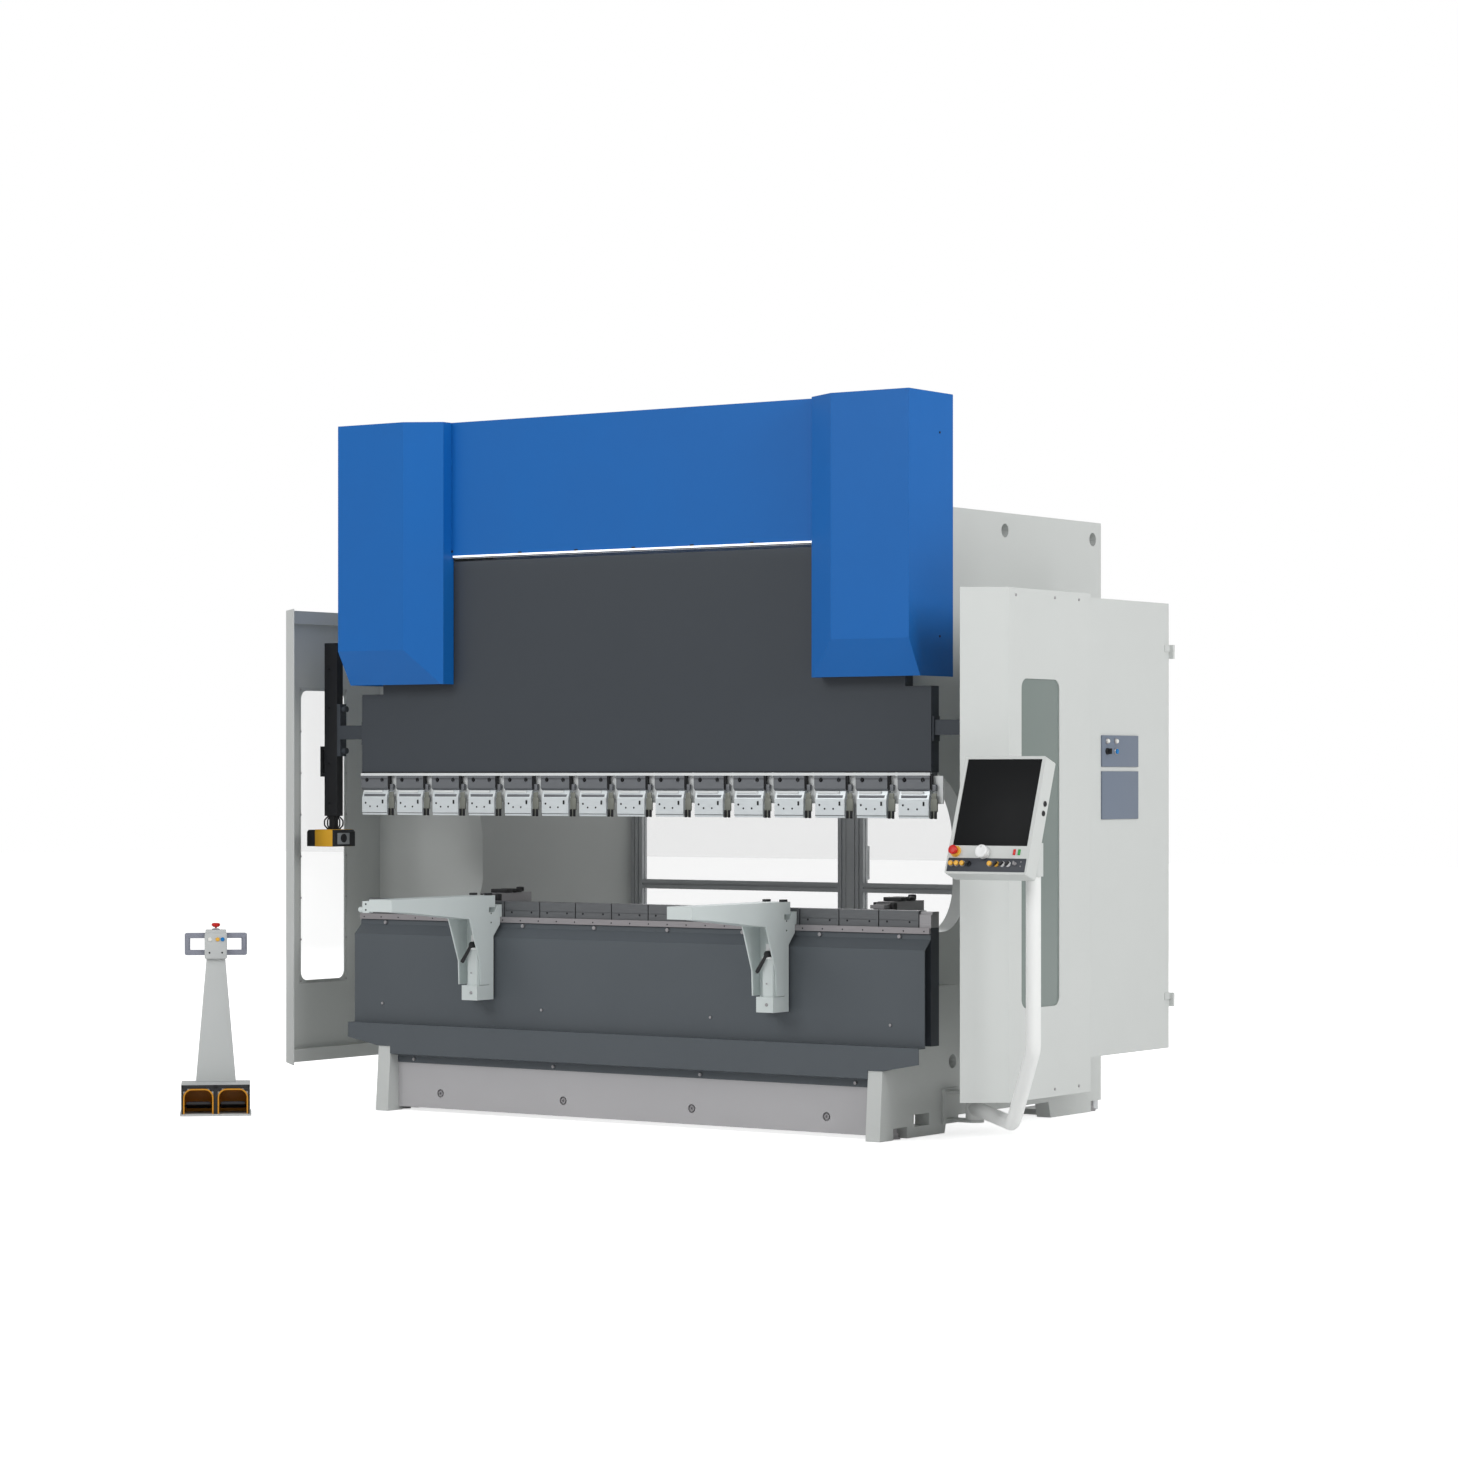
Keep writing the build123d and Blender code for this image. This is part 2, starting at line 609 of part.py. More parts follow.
def support_carriage(x):
    """Carriage that hangs on the table rail: hooked spine, foot block and guide post."""
    half = SUPPORT_WIDTH / 2
    front = RAIL_FRONT - 0.5
    tooth = GROOVE_FRONT + 0.5, GROOVE_REAR - 0.5
    top = TABLE_TOP + SLIDE_GAP
    spine_front = WEB_REAR + SLIDE_GAP
    outline = [
        (-209, 519), (-92, 519), (-92, 800), (front, 850), (front, top), (tooth[0], top),
        (tooth[0], TABLE_TOP - GROOVE_DEPTH + 1), (tooth[1], TABLE_TOP - GROOVE_DEPTH + 1),
        (tooth[1], top), (-TABLE_THICK / 2 - 1, top), (-TABLE_THICK / 2 - 1, 938), (-65, 938),
        (-86, 905), (spine_front, 905), (spine_front, 584), (-209, 584),
    ]
    body = prism_x(outline, x - half, x + half)
    body -= block((x - half - 1, x + half - POST_WIDTH - 36), (-210, spine_front), (518, 585))
    post_x = (x + half - SUPPORT_PLATE - 2 - POST_WIDTH, x + half - SUPPORT_PLATE - 2)
    web_front = WEB_REAR - WEB_THICK - SLIDE_GAP
    post = block(post_x, (-200, web_front), (584, 745))
    head = block((post_x[0] + 6, post_x[1] - 2), (-186, web_front), (745, 808))
    return body + post + head


def support_arm(x):
    """Tapered support arm on a channel-shaped leg that slides on the carriage."""
    half = SUPPORT_WIDTH / 2
    t = SUPPORT_PLATE
    tip = SUPPORT_TIP_Y
    low = SUPPORT_TOP - 101
    beam = prism_x([(tip, SUPPORT_TOP - 55), (tip, SUPPORT_TOP - 3), (-80, SUPPORT_TOP),
                    (-80, SUPPORT_TOP - 52), (WEB_REAR, SUPPORT_TOP - 52), (WEB_REAR, low),
                    (-260, low), (-671, SUPPORT_TOP - 62)], x - half, x + half)
    beam -= prism_x([(tip + t, SUPPORT_TOP - 55 + t), (tip + t, SUPPORT_TOP - 3 - t),
                     (-80 - t, SUPPORT_TOP - t), (-80 - t, SUPPORT_TOP - 52 + t),
                     (WEB_REAR - t, SUPPORT_TOP - 52 + t), (WEB_REAR - t, low + t), (-260, low + t),
                     (-671, SUPPORT_TOP - 62 + t)], x - half + t, x + half - t)
    cheek = [(-260, low), (-188, 691), (-184, 586), (WEB_REAR, 586), (WEB_REAR, low)]
    leg = prism_x(cheek, x - half, x - half + t) + prism_x(cheek, x + half - t, x + half)
    leg += block((x - half, x + half), (WEB_REAR - WEB_THICK, WEB_REAR), (586, low))
    return beam + leg


def arm_stop(x):
    """White end stop and its roller beside the tip of the left arm."""
    side = x - SUPPORT_WIDTH / 2
    stop = block((side - 38, side), (SUPPORT_TIP_Y, SUPPORT_TIP_Y + 26), (919, 970))
    roller = round_bar((side - 62, SUPPORT_TIP_Y + 13, 933), (side - 38, SUPPORT_TIP_Y + 13, 933), 12)
    return [stop, roller]


def arm_lever(x):
    """Clamping lever in front of the guide post, hub and tapered handle."""
    hub_x = x + SUPPORT_WIDTH / 2 - 35
    front = -186 - SLIDE_GAP
    hub = round_bar((hub_x, front, 762), (hub_x, front - 26, 762), 16)
    handle = round_bar((hub_x, front - 20, 762), (hub_x - 42, front - 34, 684), 8)
    return hub + handle


def gauge_rails():
    """Rails on the frames' inner faces for the backgauge carriage."""
    inner = FRAME_INSIDE / 2
    rail = block((inner - GAUGE_RAIL_WIDTH, inner), GAUGE_RAIL_Y, GAUGE_RAIL_Z)
    return [rail, mirrored(rail)]


def gauge_carriage():
    """Backgauge carriage: cross beam, end trucks on the rails and two uprights."""
    inner = FRAME_INSIDE / 2
    deck = GAUGE_RAIL_Z[1] + SLIDE_GAP
    front = GAUGE_BEAM_Y[0]
    body = block((-inner + 2, inner - 2), GAUGE_BEAM_Y, (deck, deck + 60))
    for sign in (-1, 1):
        upright_x = sorted((sign * 880, sign * 940))
        body += block(upright_x, (front, front + 60), (deck + 60, UPRIGHT_TOP))
    return body


def gauge_lift():
    """Beam that rides up and down in front of the carriage's uprights."""
    wall = 12
    beam = block((-LIFT_HALF, LIFT_HALF), LIFT_Y, LIFT_Z)
    hollow_y = (LIFT_Y[0] + wall, LIFT_Y[1] - wall)
    hollow_z = (LIFT_Z[0] + wall, LIFT_Z[1] - wall)
    return beam - block((-LIFT_HALF - 1, LIFT_HALF + 1), hollow_y, hollow_z)


def gauge_finger(x):
    """Stop finger: shoe on the lift beam, arm and stepped tip."""
    half = FINGER_WIDTH / 2
    base = LIFT_Z[1] + SLIDE_GAP
    shoe = block((x - half, x + half), (LIFT_Y[0], LIFT_Y[1]), (base, base + 40))
    outline = [(FINGER_TIP_Y, 946), (FINGER_TIP_Y, 962), (FINGER_TIP_Y + 40, 962), (FINGER_TIP_Y + 60, 975),
               (LIFT_Y[1], 975), (LIFT_Y[1], base + 40), (FINGER_TIP_Y + 120, base + 40),
               (FINGER_TIP_Y + 60, 946)]
    arm = prism_x(outline, x - half + 25, x + half - 25)
    knob = round_bar((x, 520, 975), (x, 520, 1000), 16)
    return shoe + arm + knob


def guard_sheet(left):
    """Side guard as a bent sheet, with stiffening rails, window hole and rear flange."""
    t = GUARD_SHEET
    x, fx = GUARD_X, GUARD_FRONT_X
    inner_end = FRAME_INSIDE / 2 + FRAME_THICK if left else CABINET_X - 50
    length = math.hypot(x - fx, GUARD_CHAMFER_Y - GUARD_FRONT_Y)
    nx, ny = -(GUARD_CHAMFER_Y - GUARD_FRONT_Y) / length, (x - fx) / length
    bend = (t - t * -nx) / ny
    outline = [
        (x, GUARD_REAR), (x, GUARD_CHAMFER_Y), (fx, GUARD_FRONT_Y), (fx + t * nx, GUARD_FRONT_Y + t * ny),
        (x - t, GUARD_CHAMFER_Y + bend), (x - t, GUARD_REAR - t), (inner_end, GUARD_REAR - t),
        (inner_end, GUARD_REAR),
    ]
    sheet = prism_z(outline, GUARD_LOW, GUARD_TOP)
    hole = block((x - 10, x + 10), WINDOW_Y, WINDOW_Z)
    hole = fillet(hole.edges().filter_by(Axis.X), WINDOW_CORNER)
    sheet -= hole
    for z in (GUARD_LOW, GUARD_TOP - 60):
        sheet += block((x - 34, x - t), (GUARD_CHAMFER_Y + 10, GUARD_REAR - t), (z, z + 60))
    return mirrored(sheet) if left else sheet


def guard_window():
    """Pane behind the right guard's window hole."""
    margin = 15
    inside = GUARD_X - GUARD_SHEET
    y = (WINDOW_Y[0] - margin, WINDOW_Y[1] + margin)
    z = (WINDOW_Z[0] - margin, WINDOW_Z[1] + margin)
    return block((inside - PANE_THICK, inside), y, z)


def cabinet():
    """Electrical cabinet on the right frame: box open towards its door, with hinge eyes."""
    t = CABINET_WALL
    inner = FRAME_INSIDE / 2 + FRAME_THICK
    face = CABINET_X - DOOR_DEPTH - DOOR_GAP
    box = block((inner, face), (GUARD_REAR, CABINET_REAR), (CABINET_LOW, CABINET_TOP))
    inside_y = (GUARD_REAR + t, CABINET_REAR - t)
    box -= block((inner + t, face + 1), inside_y, (CABINET_LOW + t, CABINET_TOP - t))
    hinge_x = (DOOR_HINGE_X - 8, DOOR_HINGE_X + 8)
    pin_y = CABINET_REAR + 9
    for z in hinge_heights():
        box += block((face - 30, DOOR_HINGE_X + 4), (CABINET_REAR, CABINET_REAR + 3), (z, z + 30))
        box += block(hinge_x, (CABINET_REAR, CABINET_REAR + 16), (z, z + 30))
        box += round_bar((DOOR_HINGE_X, pin_y, z), (DOOR_HINGE_X, pin_y, z + 60), HINGE_PIN)
    return box


def hinge_heights():
    return [CABINET_LOW + 180, CABINET_TOP - 240]


def cabinet_door():
    """Tray-shaped door with two raised panel plates and hinge knuckles."""
    t = CABINET_WALL
    x0, x1 = CABINET_X - DOOR_DEPTH, CABINET_X
    y0, y1 = GUARD_REAR + 2, CABINET_REAR
    z0, z1 = CABINET_LOW, CABINET_TOP
    door = block((x0, x1), (y0, y1), (z0, z1))
    door -= block((x0 - 1, x1 - t), (y0 + t, y1 - t), (z0 + t, z1 - t))
    hinge_x = (DOOR_HINGE_X - 8, DOOR_HINGE_X + 8)
    rear = CABINET_REAR + 17
    pin_y = CABINET_REAR + 9
    for z in hinge_heights():
        base = z + 30 + SLIDE_GAP
        height = (base, base + 30)
        door += block(hinge_x, (CABINET_REAR + 1, rear), height)
        door += block((CABINET_X - t, DOOR_HINGE_X - 8), (CABINET_REAR - 40, rear), height)
        eye_ends = [(DOOR_HINGE_X, pin_y, base - 1), (DOOR_HINGE_X, pin_y, base + 31)]
        door -= round_bar(*eye_ends, HINGE_PIN + PIN_GAP)
    return door


def door_plate(z0, z1):
    """Slate-coloured plate on the cabinet door."""
    plate = block((CABINET_X, CABINET_X + 6), (725, 1041), (z0, z1))
    return fillet(plate.edges().filter_by(Axis.X), 14)


def cabinet_switch():
    """Turning key switch on the upper plate."""
    front = CABINET_X + 6 + SLIDE_GAP
    ring = round_bar((front, 766, 1613), (front + 10, 766, 1613), 14)
    return ring + block((front + 10, front + 24), (762, 770), (1601, 1625))


def fence_frame():
    """Rear posts and the rail that joins them at the top."""
    y = (FRAME_REAR, FRAME_REAR + POST_SIZE)
    half = FENCE_POST_X + POST_SIZE / 2
    posts = block((-half, half), y, (FENCE_TOP, FENCE_TOP + POST_SIZE))
    for x in (-FENCE_POST_X, 0, FENCE_POST_X):
        posts += block((x - POST_SIZE / 2, x + POST_SIZE / 2), y, (0, FENCE_TOP))
    posts += block((-60, 60), (FRAME_REAR, FRAME_REAR + 120), (0, 8))
    for sign in (-1, 1):
        for z in (300, 1500):
            x = sign * (FENCE_POST_X - POST_SIZE / 2 - 6)
            pin_y = FRAME_REAR + POST_SIZE + KNUCKLE_RADIUS
            posts += block(sorted((x, x + sign * 28)), (FRAME_REAR + POST_SIZE, pin_y + 8), (z, z + 24))
            posts += round_bar((x, pin_y, z), (x, pin_y, z + 48), HINGE_PIN)
            posts += round_bar((x, pin_y, z), (x, pin_y, z + 24), KNUCKLE_RADIUS)
    return posts


def fence_door():
    """Right rear door: frame of profiles, middle rail, hinge knuckles, handle and panels."""
    x0 = POST_SIZE / 2 + 4
    x1 = FENCE_POST_X - POST_SIZE / 2 - 4
    y = (FRAME_REAR + 2, FRAME_REAR + 42)
    z0, z1 = 100, FENCE_TOP - 8
    openings = [(z0 + STILE, FENCE_RAIL_Z[0]), (FENCE_RAIL_Z[1], z1 - STILE)]
    frame = block((x0, x1), y, (z0, z1))
    for opening in openings:
        frame -= block((x0 + STILE, x1 - STILE), (y[0] - 1, y[1] + 1), opening)
    knuckle_x = FENCE_POST_X - POST_SIZE / 2 - 6
    pin_y = FRAME_REAR + POST_SIZE + KNUCKLE_RADIUS
    for z in (300, 1500):
        base = z + 24 + SLIDE_GAP
        frame += block((knuckle_x - 30, knuckle_x), (pin_y - 8, pin_y + 8), (base, base + 24))
        frame += round_bar((knuckle_x, pin_y, base), (knuckle_x, pin_y, base + 24), KNUCKLE_RADIUS)
        frame += block((knuckle_x - 30, knuckle_x - 9), (y[1], pin_y - 8), (base, base + 24))
        eye_ends = [(knuckle_x, pin_y, base - 1), (knuckle_x, pin_y, base + 25)]
        frame -= round_bar(*eye_ends, HINGE_PIN + PIN_GAP)
    handle = block((x0 + 8, x0 + 36), (y[1], y[1] + 34), (1020, 1180))
    handle -= block((x0 + 7, x0 + 37), (y[1], y[1] + 22), (1040, 1160))
    middle = (y[0] + y[1]) / 2
    pane_y = (middle - PANEL_THICK / 2, middle + PANEL_THICK / 2)
    panes = [block((x0 + STILE, x1 - STILE), pane_y, opening) for opening in openings]
    return [frame, handle, *panes]


def pendant_bracket():
    """Fork on the right frame that carries the pendant's vertical pivot pin."""
    outer = FRAME_INSIDE / 2 + FRAME_THICK
    px, py = PIVOT
    fork = block((outer, outer + 10), (py - 60, py + 60), (40, 190))
    for z in ((50, 62), (168, 180)):
        fork += block((outer + 10, px), (py - 40, py + 40), z) + round_bar((px, py, z[0]), (px, py, z[1]), 40)
    pin = round_bar((px, py, 50), (px, py, 180), PIVOT_RADIUS)
    return fork + pin


def pendant_arm():
    """Bent pipe from the pivot hub out under the guard and up behind the console."""
    px, py = PIVOT
    hub_low, hub_high = 62 + SLIDE_GAP, 168 - SLIDE_GAP
    hub = round_bar((px, py, hub_low), (px, py, hub_high), 38)
    start = (px, py, PIPE_LOW_Z)
    route = [start, (*PIPE_BEND, PIPE_LOW_Z), PIPE_FOOT, (PIPE_FOOT[0], PIPE_FOOT[1], PIPE_TOP)]
    path = FilletPolyline(*route, radius=90)
    pipe = sweep(Plane(origin=start, z_dir=path % 0) * Circle(PIPE_RADIUS), path=path)
    bore = round_bar((px, py, hub_low - 1), (px, py, hub_high + 1), PIVOT_RADIUS + PIN_GAP)
    return hub + pipe - bore


def console_frame(shape):
    """Puts a shape drawn on the console's flat face onto the tilted console."""
    return Pos(CONSOLE_X, CONSOLE_LOW_Y, CONSOLE_LOW_Z) * Rot(-CONSOLE_TILT, 0, 0) * shape


def console():
    """Tilted console box with a sleeve that turns on the pipe's upper end."""
    half = CONSOLE_WIDTH / 2
    case = block((-half, half), (0, CONSOLE_DEPTH), (0, CONSOLE_HEIGHT))
    case = fillet(case.edges().filter_by(Axis.Y), 8)
    case -= block((-half + 16, half - 16), (-1, 4), (118, CONSOLE_HEIGHT - 12))
    case = console_frame(case)
    x, y = PIPE_FOOT[0], PIPE_FOOT[1]
    low = PIPE_TOP - 120
    sleeve = round_bar((x, y, low), (x, y, PIPE_TOP + 12), PIPE_RADIUS + 9)
    bracket = block((x - 30, x + 30), (y - 125, y), (low + 20, PIPE_TOP + 12))
    bore = round_bar((x, y, low - 1), (x, y, PIPE_TOP + SLIDE_GAP), PIPE_RADIUS + PIN_GAP)
    body = case + sleeve + bracket - bore
    holes = [(x, BUTTON_ROW_Z, STEM_RADIUS + SLIDE_GAP) for x in console_button_places()]
    holes.append((*CONSOLE_ESTOP, STEM_RADIUS + SLIDE_GAP))
    holes.append((*JOG_PLACE, SPINDLE_RADIUS + PIN_GAP))
    for hx, hz, radius in holes:
        body -= console_frame(round_bar((hx, -1, hz), (hx, 26, hz), radius))
    return body


def console_button_places():
    """Three buttons at the left end of the lower strip and one right of the middle."""
    return [-160, -134, -108, 18]


def console_button(x):
    """Round push button on a stem in the console's lower strip."""
    z = BUTTON_ROW_Z
    cap = round_bar((x, -15, z), (x, -5, z), BUTTON_RADIUS)
    stem = round_bar((x, -5, z), (x, 16, z), STEM_RADIUS)
    return console_frame(cap + stem)


def console_estop():
    """Mushroom emergency stop on the console."""
    x, z = CONSOLE_ESTOP
    head = round_bar((x, -34, z), (x, -20, z), 18)
    neck = round_bar((x, -20, z), (x, -8, z), 12)
    stem = round_bar((x, -8, z), (x, 16, z), STEM_RADIUS)
    return console_frame(head + neck + stem)


def jog_wheel():
    """Large jog wheel on its spindle."""
    x, z = JOG_PLACE
    wheel = round_bar((x, -30, z), (x, -1, z), WHEEL_RADIUS)
    spindle = round_bar((x, -1, z), (x, 20, z), SPINDLE_RADIUS)
    return console_frame(wheel + spindle)


def stand_frame(shape):
    """Puts a shape drawn in the stand's own axes where the stand is."""
    return Pos(STAND_X, STAND_Y, 0) * Rot(0, 0, STAND_TURN) * shape


def stand_base():
    """Foot plate and pedal box with two arched openings towards the operator."""
    half = STAND_WIDTH / 2
    plate = block((-half - 5, half + 5), (-4, STAND_DEPTH + 4), (0, STAND_PLATE))
    box = block((-half, half), (0, STAND_DEPTH), (STAND_PLATE, STAND_BOX_TOP))
    for x in pedal_places():
        span = PEDAL_WIDTH / 2 + 14
        hollow = block((x - span, x + span), (-1, 150), (STAND_PLATE, 122))
        hollow = fillet(hollow.edges().filter_by(Axis.Y).group_by(Axis.Z)[-1], 40)
        box -= hollow
    body = plate + box
    for x in pedal_places():
        body -= pedal_pin(x, PIN_GAP)
    return stand_frame(body)


def pedal_places():
    return [-STAND_WIDTH / 4, STAND_WIDTH / 4]


def pedal_pin(x, gap):
    """Pivot pin of one pedal, held in the walls of its hollow."""
    reach = PEDAL_WIDTH / 2 + 20
    return round_bar((x - reach, 128, 34), (x + reach, 128, 34), 4 + gap)


def stand_pedal(x):
    """Pedal plate on its pin, sloping up from the front."""
    half = PEDAL_WIDTH / 2
    outline = [(8, 52), (10, 62), (136, 44), (140, 34), (134, 24), (124, 26), (116, 36)]
    return stand_frame(prism_x(outline, x - half, x + half) + pedal_pin(x, 0))


def stand_column():
    """Tapered column, head box and the two-bar handle loop with round grips."""
    rear = COLUMN_FRONT + 50
    outline = [(-89, STAND_BOX_TOP), (89, STAND_BOX_TOP), (42, COLUMN_TOP), (-42, COLUMN_TOP)]
    column = prism_y(outline, COLUMN_FRONT, rear)
    head = block((-50, 50), (COLUMN_FRONT - 20, rear), (COLUMN_TOP, STAND_HEAD_TOP))
    loop = block((-140, 140), (COLUMN_FRONT + 5, COLUMN_FRONT + 29), (706, 806))
    loop = fillet(loop.edges().filter_by(Axis.Y), 30)
    loop -= block((-114, 114), (COLUMN_FRONT, COLUMN_FRONT + 40), (730, 782))
    hole_ends = [(0, 190, STAND_HEAD_TOP - 20), (0, 190, STAND_HEAD_TOP + 1)]
    hole = round_bar(*hole_ends, STEM_RADIUS + SLIDE_GAP)
    return stand_frame(column + head + loop - hole)


def stand_estop():
    """Mushroom emergency stop on the stand's head."""
    top = STAND_HEAD_TOP
    head = round_bar((0, 190, top + 14), (0, 190, top + 30), 19)
    neck = round_bar((0, 190, top + 6), (0, 190, top + 14), 13)
    stem = round_bar((0, 190, top - 13), (0, 190, top + 6), STEM_RADIUS)
    return stand_frame(head + neck + stem)


def build():
    os.makedirs("parts", exist_ok=True)
    frame = side_frame()
    write("side_frame_right", frame)
    write("side_frame_left", mirrored(frame))
    half_spacing = ANCHOR_SPACING_Y / 2
    feet = [foot_plate(ANCHOR_Y - half_spacing), foot_plate(ANCHOR_Y + half_spacing)]
    write("foot_plates", *feet, *[mirrored(foot) for foot in feet])
    jacks = [levelling_jack(FRONT_NOTCH_Y), levelling_jack(REAR_NOTCH_Y)]
    write("levelling_jacks", *jacks, *[mirrored(jack) for jack in jacks])
    write("cross_ties", *cross_ties())
    write("upper_beam", upper_beam())
    write("power_pack", *power_pack())
    cylinder = hydraulic_cylinder()
    write("hydraulic_cylinders", cylinder, mirrored(cylinder))
    write("table", table())
    write("table_rail", table_rail())
    write("die_holders", *die_holders())
    write("end_blocks", *end_blocks())
    write("apron", apron())
    write("base_beam", base_beam())
    write("panel_fasteners", *panel_fasteners())
    write("beam_panel", beam_panel())
    write("led_strip", led_strip())
    cover = corner_cover()
    write("corner_cover_right", cover)
    write("corner_cover_left", mirrored(cover))
    write("guard_right", guard_sheet(left=False))
    write("guard_left", guard_sheet(left=True))
    window = guard_window()
    write("guard_windows", window, mirrored(window))
    write("cabinet", cabinet())
    write("fence_frame", fence_frame())
    write("gauge_rails", *gauge_rails())
    write("pendant_bracket", pendant_bracket())

    write("ram", ram())
    write("clamp_blocks", *[clamp_block(x) for x in clamp_places()])
    write("clamp_jaws", *[clamp_jaw(x) for x in clamp_places()])
    brackets = ram_bracket()
    write("ram_brackets", *brackets, *[mirrored(piece) for piece in brackets])
    rod = piston_rod()
    write("piston_rods", rod, mirrored(rod))
    laser = laser_column()
    write("laser_right", *laser)
    write("laser_left", *[mirrored(piece) for piece in laser])

    for side, x in (("left", SUPPORT_LEFT_X), ("right", SUPPORT_RIGHT_X)):
        write(f"support_carriage_{side}", support_carriage(x))
        stop = arm_stop(x) if side == "left" else []
        write(f"support_arm_{side}", support_arm(x), *stop)
        write(f"arm_lever_{side}", arm_lever(x))

    write("gauge_carriage", gauge_carriage())
    write("gauge_lift", gauge_lift())
    write("gauge_finger_left", gauge_finger(FINGER_LEFT_X))
    write("gauge_finger_right", gauge_finger(FINGER_RIGHT_X))

    write("cabinet_door", cabinet_door(), door_plate(1548, 1680), door_plate(1326, 1528))
    write("cabinet_switch", cabinet_switch())
    door = fence_door()
    write("fence_door_right", *door)
    write("fence_door_left", *[mirrored(piece) for piece in door])

    write("pendant_arm", pendant_arm())
    write("console", console())
    write("console_estop", console_estop())
    write("jog_wheel", jog_wheel())
    for number, x in enumerate(console_button_places(), 1):
        write(f"console_button_{number}", console_button(x))

    write("stand_base", stand_base())
    write("stand_column", stand_column())
    write("stand_estop", stand_estop())
    for side, x in zip(("left", "right"), pedal_places()):
        write(f"stand_pedal_{side}", stand_pedal(x))


build()
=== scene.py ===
import json
import math
import bmesh
import bpy
from mathutils import Matrix, Vector


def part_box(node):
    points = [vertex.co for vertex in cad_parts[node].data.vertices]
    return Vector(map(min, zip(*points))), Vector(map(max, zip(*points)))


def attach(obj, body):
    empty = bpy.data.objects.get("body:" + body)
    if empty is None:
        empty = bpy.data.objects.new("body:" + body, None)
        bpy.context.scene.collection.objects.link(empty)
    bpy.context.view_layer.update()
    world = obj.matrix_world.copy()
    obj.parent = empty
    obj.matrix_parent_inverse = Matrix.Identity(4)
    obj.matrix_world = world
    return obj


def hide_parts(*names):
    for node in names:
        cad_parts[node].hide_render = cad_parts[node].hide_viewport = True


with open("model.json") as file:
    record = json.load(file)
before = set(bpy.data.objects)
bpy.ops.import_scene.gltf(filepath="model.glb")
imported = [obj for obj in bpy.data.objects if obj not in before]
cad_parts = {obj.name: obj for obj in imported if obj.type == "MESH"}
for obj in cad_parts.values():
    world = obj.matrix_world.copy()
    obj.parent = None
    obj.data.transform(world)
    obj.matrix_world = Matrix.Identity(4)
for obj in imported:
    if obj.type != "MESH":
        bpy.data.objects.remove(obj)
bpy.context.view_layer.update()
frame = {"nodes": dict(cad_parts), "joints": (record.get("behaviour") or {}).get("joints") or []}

# ---------------------------------------------------------------- camera, light and floor
# A long lens at eye height, square to the horizon, looks at the machine's front and right side.
# The room is a white studio: a pale dome, with wide soft boxes in front, at the right and behind.
scene = bpy.context.scene
scene.view_settings.view_transform = "Standard"


def tone(code):
    """An sRGB hex colour as linear red, green, blue and alpha."""
    parts = [int(code[i:i + 2], 16) / 255 for i in (0, 2, 4)]
    return (*[p / 12.92 if p <= 0.04045 else ((p + 0.055) / 1.055) ** 2.4 for p in parts], 1)


def add(tree, kind, inputs=None, **settings):
    """Adds a node, sets its properties, and sets or links its inputs."""
    made = tree.nodes.new(kind)
    for name, value in settings.items():
        setattr(made, name, value)
    for name, value in (inputs or {}).items():
        if isinstance(value, bpy.types.NodeSocket):
            tree.links.new(value, made.inputs[name])
        else:
            made.inputs[name].default_value = value
    return made


lens = bpy.data.cameras.new("camera")
lens.sensor_width = 36
lens.lens = 94.64
lens.shift_y = 0.0336
lens.clip_end = 200
camera = bpy.data.objects.new("camera", lens)
camera.location = (9.827, -14.295, 1.5)
camera.rotation_euler = (math.radians(90), 0, math.radians(34.74))
scene.collection.objects.link(camera)
scene.camera = camera

dome = bpy.data.worlds.new("studio")
dome.use_nodes = True
scene.world = dome
sky = dome.node_tree.nodes["Background"]
sky.inputs["Color"].default_value = tone("FFFFFF")
sky.inputs["Strength"].default_value = 0.48
# The backdrop itself is lit white, brighter than the light that the dome gives.
backdrop = add(dome.node_tree, "ShaderNodeBackground", {"Color": tone("FFFFFF"), "Strength": 1.0})
seen = add(dome.node_tree, "ShaderNodeLightPath").outputs["Is Camera Ray"]
blend = add(dome.node_tree, "ShaderNodeMixShader", {"Fac": seen})
dome.node_tree.links.new(sky.outputs["Background"], blend.inputs[1])
dome.node_tree.links.new(backdrop.outputs["Background"], blend.inputs[2])
dome.node_tree.links.new(blend.outputs["Shader"], dome.node_tree.nodes["World Output"].inputs["Surface"])


def soft_box(name, place, target, size, watts):
    light = bpy.data.lights.new(name, "AREA")
    light.shape = "RECTANGLE"
    light.size, light.size_y = size
    light.energy = watts
    lamp = bpy.data.objects.new(name, light)
    lamp.location = place
    lamp.rotation_euler = (Vector(target) - Vector(place)).to_track_quat("-Z", "Y").to_euler()
    scene.collection.objects.link(lamp)


soft_box("key_light", (-2.5, -12, 7.5), (0, 0, 1.2), (7, 5), 480)
soft_box("side_light", (12, -2.5, 6), (1, 0, 1.2), (6, 5), 600)
soft_box("rear_light", (-7, 12, 7), (0, 0, 1.2), (7, 5), 420)

